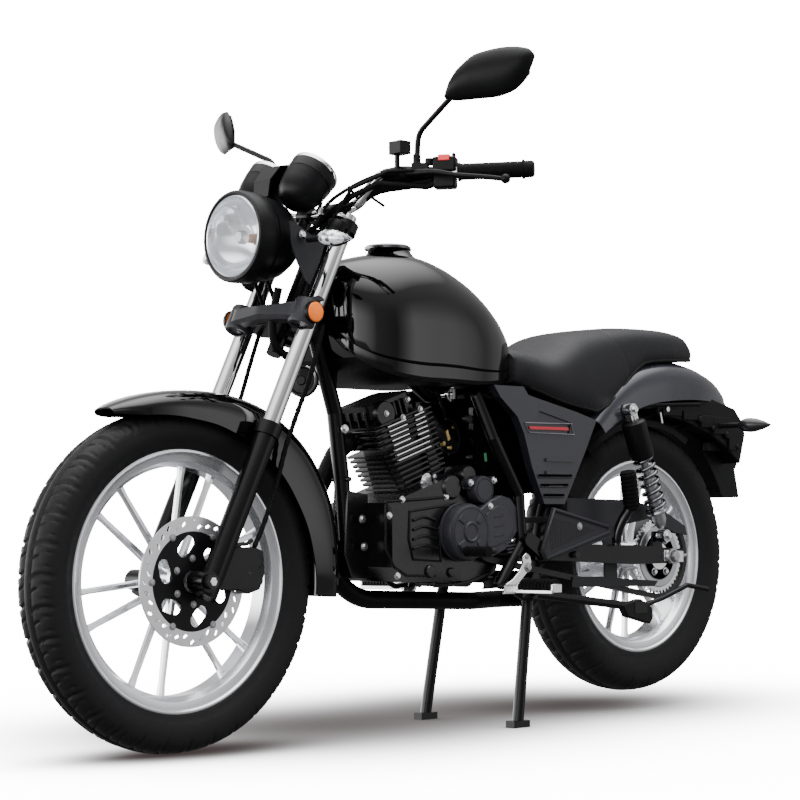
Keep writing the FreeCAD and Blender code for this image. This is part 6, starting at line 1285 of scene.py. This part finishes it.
def add_fork_cover():
    rows = []
    for k in range(33):
        s = -1 + 2 * k / 32
        reach = abs(s)
        depth = 50 - 14 * reach - 16 * max(0.0, reach - 0.72) / 0.28
        high = 10 + 10 * reach if reach < 0.72 else 17 + 24 * (reach - 0.72) / 0.28
        low = -24 - 4 * reach
        section = ((low, depth - 8), (low + 6, depth), (high - 10, depth + 2), (high, depth - 8),
                   (high + 2, depth - 22),
                   (high - 2, depth - 26), (high - 12, depth - 8), (low + 8, depth - 8), (low + 3, depth - 26),
                   (low, depth - 24))
        rows.append([on_fork(COVER_ALONG + along * 0.9, ahead + 6, 118 * s) for along, ahead in section])
    build("fork_cover_shell", "matte_grey", "steering", (skin, rows), crease=30, replaces=["fork_cover"])
    for side, hand in HANDS:
        leg = on_fork(COVER_ALONG, FORK_OFFSET, side * LEG_SIDE)
        face = on_fork(COVER_ALONG, FORK_OFFSET, side * 122)
        turned(f"fork_cover_cheek_{hand}", COVER_CHEEK, leg, STEER_UP, "matte_grey", "steering", 40, closed=True,
               crease=30)
        turned(f"reflector_{hand}", [(0, 8.5), (16, 8.2), (19, 6.5), (20, 4), (20, 0), (0, 0)], face, LEFT * side,
               "amber", "steering", 40, crease=40, replaces=told_once(side, "fork_reflectors"))
        turned(f"reflector_rim_{hand}", [(20, -2), (22, -2), (22, 5), (21, 6.5), (19.8, 6.5)], face, LEFT * side,
               "satin_black", "steering", 40, closed=True)
        build(f"reflector_stud_{hand}", "satin_black", "steering", (hose, [leg, face], 12, 16))


def add_lower_yoke():
    layers = [[on_fork(along, ahead, y) for ahead, y in YOKE_CORNERS] for along in (548, 576)]
    build("lower_yoke_block", "black_steel", "steering", (skin, layers), crease=30, bevel=3.0, replaces=["lower_yoke"])
    for side, hand in HANDS:
        turned(f"yoke_clamp_{hand}", YOKE_CLAMP, on_fork(545, FORK_OFFSET, side * LEG_SIDE), STEER_UP,
               "black_steel", "steering", 40, closed=True, crease=30)
    build("steering_stem", "black_steel", "steering", (hose, [on_fork(500, -17), on_fork(780, -17)], 15, 20),
          crease=50)


HORN = [(0, 16), (8, 16), (10, 13), (24, 11), (27, 14), (30, 14), (32, 10), (32, 2), (26, -10), (14, -14), (0, -14)]
HORN_AIM = Vector((0.9, 0.4, 0.1))
BRAKE_HOSE = [(1020, 112, 806), (1028, 110, 770), (1046, 102, 700), (1064, 90, 640), (1090, 84, 570), (1110, 80, 500),
              (1142, 84, 430), (1172, 88, 380)]
CALIPER = [(1150, 372), (1146, 330), (1158, 300), (1186, 292), (1210, 300), (1212, 350), (1200, 378), (1172, 380)]
CALIPER_REAR = [(1200, 372), (1206, 300), (1240, 300), (1262, 330), (1250, 362), (1226, 380)]


def add_horn_and_hoses():
    face = at(1003, 38, 700)
    turned("horn", HORN, face, HORN_AIM, "satin_black", "steering", 48, crease=25)
    turned("horn_ring", [(26, 12.2), (29, 14.6), (31, 12.4), (30, 11)], face, HORN_AIM, "bright_steel", "steering", 48,
           closed=True)
    build("front_hoses", "rubber", "steering",
          (run, [(1062, 30, 880), (1072, 24, 820), (1066, 22, 772), (1040, 22, 752), (1010, 26, 742)], 8, 12),
          (run, [(1072, 12, 890), (1050, 6, 850), (1030, 0, 800)], 4),
          (run, [(1078, -20, 890), (1052, -28, 850), (1034, -30, 800)], 4), crease=60)
    path = curved([at(*place) for place in BRAKE_HOSE], 10)
    build("brake_hose", "rubber", "steering", (hose, path, [4.6 if k % 3 else 5.4 for k in range(len(path))], 10),
          crease=60)
    build("meter_cable", "rubber", "steering",
          (run, [(1020, -76, 806), (1042, -80, 740), (1072, -84, 650), (1120, -80, 560)], 4.5), crease=60)


def add_caliper():
    build("caliper_body", "black_steel", "steering", (plate, CALIPER, 69, 88),
          (boss, 1168, 318, stub(13, 86, 93, 2, 3), 28), (boss, 1168, 352, stub(13, 86, 93, 2, 3), 28),
          (plate, CALIPER_REAR, 70, 80), crease=25, bevel=2.0, replaces=["brake_caliper"])
    build("caliper_details", "dark_metal", "steering", *[
        (boss, x, z, stub(r, 70, y, 1.5, 2), 16)
        for x, z, r, y in ((1222, 346, 8, 84), (1236, 330, 6, 84), (1210, 310, 5, 84), (1190, 330, 4, 96))],
        (run, [(1232, 92, 372), (1216, 96, 384), (1196, 94, 386), (1180, 90, 392)], 4, 10, 6), crease=30)
    bolts("front_axle_nut", [FRONT_AXLE + LEFT * (120 * MM)], LEFT, "bright_steel", "steering", 8.5, 9)
    bolts("caliper_bolts", [at(1232, 80, 314), at(1222, 80, 366), at(1192, 88, 360)], LEFT, "bright_steel",
          "steering", 6, 6)


# Handlebar

CLAMP_X = 929
GRIP_LONG = 140
# The lever and what it stands on: distance in from the bar's end, up, ahead
LEVER_LINE = [(238, 0, 14), (214, -2, 24), (180, -4, 36), (130, -14, 46), (80, -20, 48), (44, -25, 46)]
PERCH = [(0, 188), (13, 188), (13, 232), (16, 236), (17, 262), (15, 270), (12, 290), (0, 296)]


def along_bar(t, side=1, up=0.0, ahead=0.0):
    """A place t millimetres in from the bar's outer end."""
    end = at(741, side * 400, 1103)
    way = Vector((0.555, -side * 0.832, 0))
    return end + way * (t * MM) + Vector((0, 0, up * MM)) + Vector((0.832, side * 0.555, 0)) * (ahead * MM)


def grip_section():
    profile = [(0, 0), (18, 0), (18.5, 3), (16.4, 5)]
    for k in range(30):
        t = 6 + (GRIP_LONG - 22) * k / 30
        step = (GRIP_LONG - 22) / 30
        profile += [(16.2, t), (16.2, t + step * 0.62), (15.3, t + step * 0.7), (15.3, t + step * 0.94)]
    return profile + [(16, GRIP_LONG - 15), (19, GRIP_LONG - 14), (19, GRIP_LONG - 11), (16.5, GRIP_LONG - 10),
                      (16.5, GRIP_LONG + 4), (14.5, GRIP_LONG + 8), (0, GRIP_LONG + 9)]


def add_bar_side(side, hand):
    outer = along_bar(0, side)
    inner = along_bar(GRIP_LONG, side)
    way = (outer - inner).normalized()
    beside = way.cross(UP)
    turned(f"grip_rubber_{hand}", grip_section(), inner, way, "rubber", "steering", 36, crease=30,
           replaces=told_once(side, "grips"))
    box = (way * (23 * MM), UP * (15 * MM), beside * (17 * MM))
    build(f"switch_box_{hand}", "satin_black", "steering", (oblong, along_bar(166, side, 15), *box),
          (oblong, along_bar(166, side, -17, 1), box[0] * 0.95, box[1], box[2] * 0.9), crease=30, bevel=4.0,
          replaces=told_once(side, "switch_boxes"))
    line = curved([along_bar(t, side, up, ahead) for t, up, ahead in LEVER_LINE], 8)
    radii = [9 - 4.2 * min(1.0, k / (len(line) * 0.55)) for k in range(len(line))]
    build(f"lever_{hand}", "satin_black", "steering", (lathe, PERCH, outer, -way, 24),
          (oblong, along_bar(214, side, 8, 10), way * (16 * MM), Vector((0, 0, 10 * MM)), beside * (9 * MM)),
          (hose, line, radii, 14), (ball, along_bar(40, side, -25, 46), 9.5), crease=40,
          replaces=told_once(side, "hand_levers"))


def ball(bm, place, radius):
    bmesh.ops.create_uvsphere(bm, u_segments=20, v_segments=12, radius=radius * MM, matrix=Matrix.Translation(place))


def add_bar_details():
    half = [at(CLAMP_X, 0, 1040), at(CLAMP_X, 78, 1040), at(CLAMP_X - 4, 112, 1050), along_bar(296), along_bar(262),
            along_bar(1)]
    other = [Vector((v.x, -v.y, v.z)) for v in reversed(half[1:])]
    tube("handlebar_tube", other + half, 11, "chrome", "steering", 0.35, 28, replaces=["handlebar"])
    for side, hand in HANDS:
        add_bar_side(side, hand)
    build("red_switch", "red_plastic", "steering", (
        oblong, along_bar(166, 1, 27, 9), Vector((-0.555, 0.832, 0)) * (11 * MM), Vector((0, 0, 6 * MM)),
        Vector((0.832, 0.555, 0)) * (11 * MM)), bevel=1.5)
    knobs = [(lathe, stub(r, 0, h, 2, 3), along_bar(t, 1, up, ahead), Vector((0.1, 0.1, 1)), 20)
             for t, up, ahead, r, h in ((196, 14, 6, 9, 12), (150, 28, -4, 4, 8))]
    reservoir = [(lathe, stub(r, -9, 7), at(884, -200, z), UP, 28) for z, r in ((1128, 17), (1146, 18.5))]
    build("bar_fittings", "satin_black", "steering", *knobs, (block, (893, 196, 1153), (14, 17, 13)),
          (block, (894, 190, 1124), (4, 4, 18)), *reservoir, crease=30, bevel=1.5)
    line = curved([along_bar(190, 1, -14), along_bar(240, 1, -22), at(905, 150, 1074), at(926, 110, 1052),
                   at(948, 70, 1034), at(962, 50, 1020)], 10)
    ties = [(hose, [place, place + way.normalized() * (34 * MM)], 2.8, 8) for place, way in (
        (at(918, 138, 1062), Vector((-0.5, 0.5, -0.5))), (at(930, 118, 1056), Vector((0.35, -0.3, 0.6))))]
    build("bar_harness", "rubber", "steering", (hose, line, [8.5 if k % 4 else 7.6 for k in range(len(line))], 12),
          *ties, crease=60)
    cable = curved([along_bar(270, 1, 2, 12), along_bar(300, 1, -2, 14), at(950, 120, 1080), at(990, 96, 1046),
                    at(1020, 90, 1000)], 10)
    build("clutch_cable", "rubber", "steering", (hose, cable, 3.6, 10),
          (hose, [along_bar(256, 1, 2, 12), along_bar(292, 1, 0, 14)], [10, 6.5], 14), crease=60)


# Tail

TAIL_HOUSING = [(-10, 722), (-190, 716), (-300, 690), (-330, 660), (-340, 630), (-318, 560), (-262, 600), (-205, 628),
                (-110, 655), (-10, 668)]
TAIL_LUG = [(-392, 575), (-428, 572), (-434, 562), (-400, 548), (-388, 552)]
TAIL_BLOCKS = (((-60, 98, 674), (34, 5, 8)), ((-126, 98, 668), (26, 6, 10)), ((-186, 98, 656), (22, 7, 14)),
               ((-240, 98, 648), (30, 6, 20)), ((-290, 98, 618), (20, 6, 26)), ((-255, 70, 600), (34, 6, 10)))
TAIL_BOSSES = ((-160, 660, 8), (-210, 640, 7), (-262, 626, 9), (-300, 600, 6))


def add_tail_details():
    build("tail_housing", "matte_black", "frame", *[(plate, TAIL_HOUSING, side * 24, side * 98) for side, _ in HANDS],
          crease=30, bevel=3.0)
    build("tail_lug", "matte_black", "frame", (plate, TAIL_LUG, -3, 3), bevel=1.0)
    build("tail_clutter", "matte_black", "frame", *[(block, place, half) for place, half in TAIL_BLOCKS],
          *[(boss, x, z, stub(r, 60, 106), 16) for x, z, r in TAIL_BOSSES],
          (run, [(-30, 60, 650), (-80, 66, 640), (-150, 64, 650), (-210, 62, 636)], 4),
          (run, [(0, 66, 660), (-60, 70, 672), (-130, 68, 664), (-180, 60, 670)], 3), crease=30, bevel=1.0)
    build("tail_hook", "bright_steel", "frame", (boss, -18, 678, [(0, 118), (6, 118), (6, 124), (0, 125)], 20),
          (leaning, (2, 118, 658), (2.5, 0, 0), (0, 2, 0), (3, 0, 12)), crease=30)


for make in (add_cylinder_details, add_left_covers, add_case_details, add_carburettor_details, add_side_cover_details,
             add_shocks, add_drive_details, add_stand_tang, add_pegs, add_shift_lever, add_bracket, add_fork_cover,
             add_lower_yoke, add_horn_and_hoses, add_caliper, add_bar_details, add_tail_details):
    make()

# Stage

FLOOR_HALF = 30.0
SOFT_WHITE = 3.0
SHINE_WHITE = 7.0
BACK_WHITE = 16.0


def greys(*stops):
    return [(place, (grey, grey, grey, 1)) for place, grey in stops]


# What shines mirrors: round the horizon from the rear through the right side and the front to the left side
WALLS = greys((0.0, 0.06), (0.13, 0.06), (0.20, 0.75), (0.48, 0.85), (0.58, 0.30), (0.68, 0.06), (0.79, 0.03),
              (0.86, 0.20), (0.93, 0.05), (0.97, 0.06))
# From straight down to straight up
CEILING = greys((0.0, 0.02), (0.42, 0.02), (0.50, 0.05), (0.66, 0.05), (0.80, 0.08), (0.90, 0.45), (1.0, 0.8))
CEILING_SHARE = greys((0.0, 1.0), (0.40, 0.9), (0.49, 0.0), (0.60, 0.0), (0.72, 1.0))
SOFT_SKY = greys((0.0, 0.25), (0.5, 0.55), (1.0, 1.0))
# Painted shadows in the floor's glow: middle ahead and to the left, reach ahead and to the side, depth
PAINTED_SHADOWS = ((0.256, -0.18, 0.45, 0.42, 3.6), (-0.494, -0.24, 0.55, 0.42, 3.8), (0.68, 0.0, 0.22, 0.10, 4.5),
           (-0.594, -0.12, 0.25, 0.15, 1.5))
# Lamps: place, what they are aimed at, width, depth, power
LAMPS = {"overhead": ((0.3, 0.8, 4.0), (0.1, 0, 0.5), 2.2, 1.4, 260),
         "front_left": ((3.6, 2.4, 2.4), (0, 0, 0.6), 1.2, 1.2, 110),
         "rear_left": ((-2.8, 3.2, 2.4), (0, 0, 0.5), 1.2, 1.2, 110)}


def add_lamps():
    for name, (place, towards, wide, deep, power) in LAMPS.items():
        data = bpy.data.lights.new(name, "AREA")
        data.shape = "RECTANGLE"
        data.size = wide
        data.size_y = deep
        data.energy = power
        lamp = placed(name, data)
        lamp.location = place
        lamp.visible_glossy = False
        lamp.rotation_euler = (Vector(towards) - Vector(place)).to_track_quat("-Z", "Y").to_euler()


def light_studio():
    """White to the camera, soft light on the part, and walls with dark gaps in what shines."""
    world = bpy.data.worlds.new("studio")
    world.use_nodes = True
    tree = world.node_tree
    way = Wire(tree, tree.nodes.new("ShaderNodeTexCoord").outputs["Generated"])
    split = way.node("ShaderNodeSeparateXYZ", Vector=way)
    ahead, left, height = (split.outlet(k) for k in range(3))
    turn = left.maths("ARCTAN2", left, ahead) * (0.5 / pi) + 0.5
    rise = height * 0.5 + 0.5
    walls = turn.node("ShaderNodeValToRGB", {"stops": WALLS}, Fac=turn)
    over, share, sky = (rise.node("ShaderNodeValToRGB", {"stops": stops}, Fac=rise)
                        for stops in (CEILING, CEILING_SHARE, SOFT_SKY))
    paths = way.node("ShaderNodeLightPath")
    soft = way.node("ShaderNodeBackground", Color=sky, Strength=SOFT_WHITE)
    mirrored = way.node("ShaderNodeBackground", Color=share.mix(walls, over), Strength=SHINE_WHITE)
    behind = way.node("ShaderNodeBackground", Color=(1, 1, 1, 1), Strength=BACK_WHITE)
    lit = way.node("ShaderNodeMixShader", i0=paths.outlet("Is Glossy Ray"), i1=soft, i2=mirrored)
    whole = way.node("ShaderNodeMixShader", i0=paths.outlet("Is Camera Ray"), i1=lit, i2=behind)
    tree.links.new(whole.socket, tree.nodes["World Output"].inputs["Surface"])
    bpy.context.scene.world = world


def floor_light(place, shader):
    """A white glowing floor; the soft shadow of a bike lit from all round is painted into its glow."""
    split = place.node("ShaderNodeSeparateXYZ", Vector=place)
    near = place.node("ShaderNodeAmbientOcclusion", {"samples": 8}, out=1, Distance=1.6)
    for x, y, long, wide, depth in PAINTED_SHADOWS:
        ahead = (split.outlet(0) - x) / long
        side = (split.outlet(1) - y) / wide
        dark = ((ahead * ahead + side * side) * -1.0).exponential() * depth
        near = near * (dark * -1.0).exponential()
    # The glow's colour carries the painted shadow: darker by ambient occlusion and by the ellipses
    link(near.mix((0.004, 0.003, 0.003, 1), (1, 1, 1, 1)), shader, "Emission Color")
    shader.inputs["Emission Strength"].default_value = BACK_WHITE


def add_floor():
    bm = bmesh.new()
    bmesh.ops.create_grid(bm, x_segments=1, y_segments=1, size=FLOOR_HALF)
    floor = mesh_object("floor", bm, [material("floor", (0, 0, 0), 0.9, specular=0.0, surface=floor_light)])
    floor.visible_glossy = False
    floor.visible_diffuse = False


add_floor()
light_studio()
add_lamps()
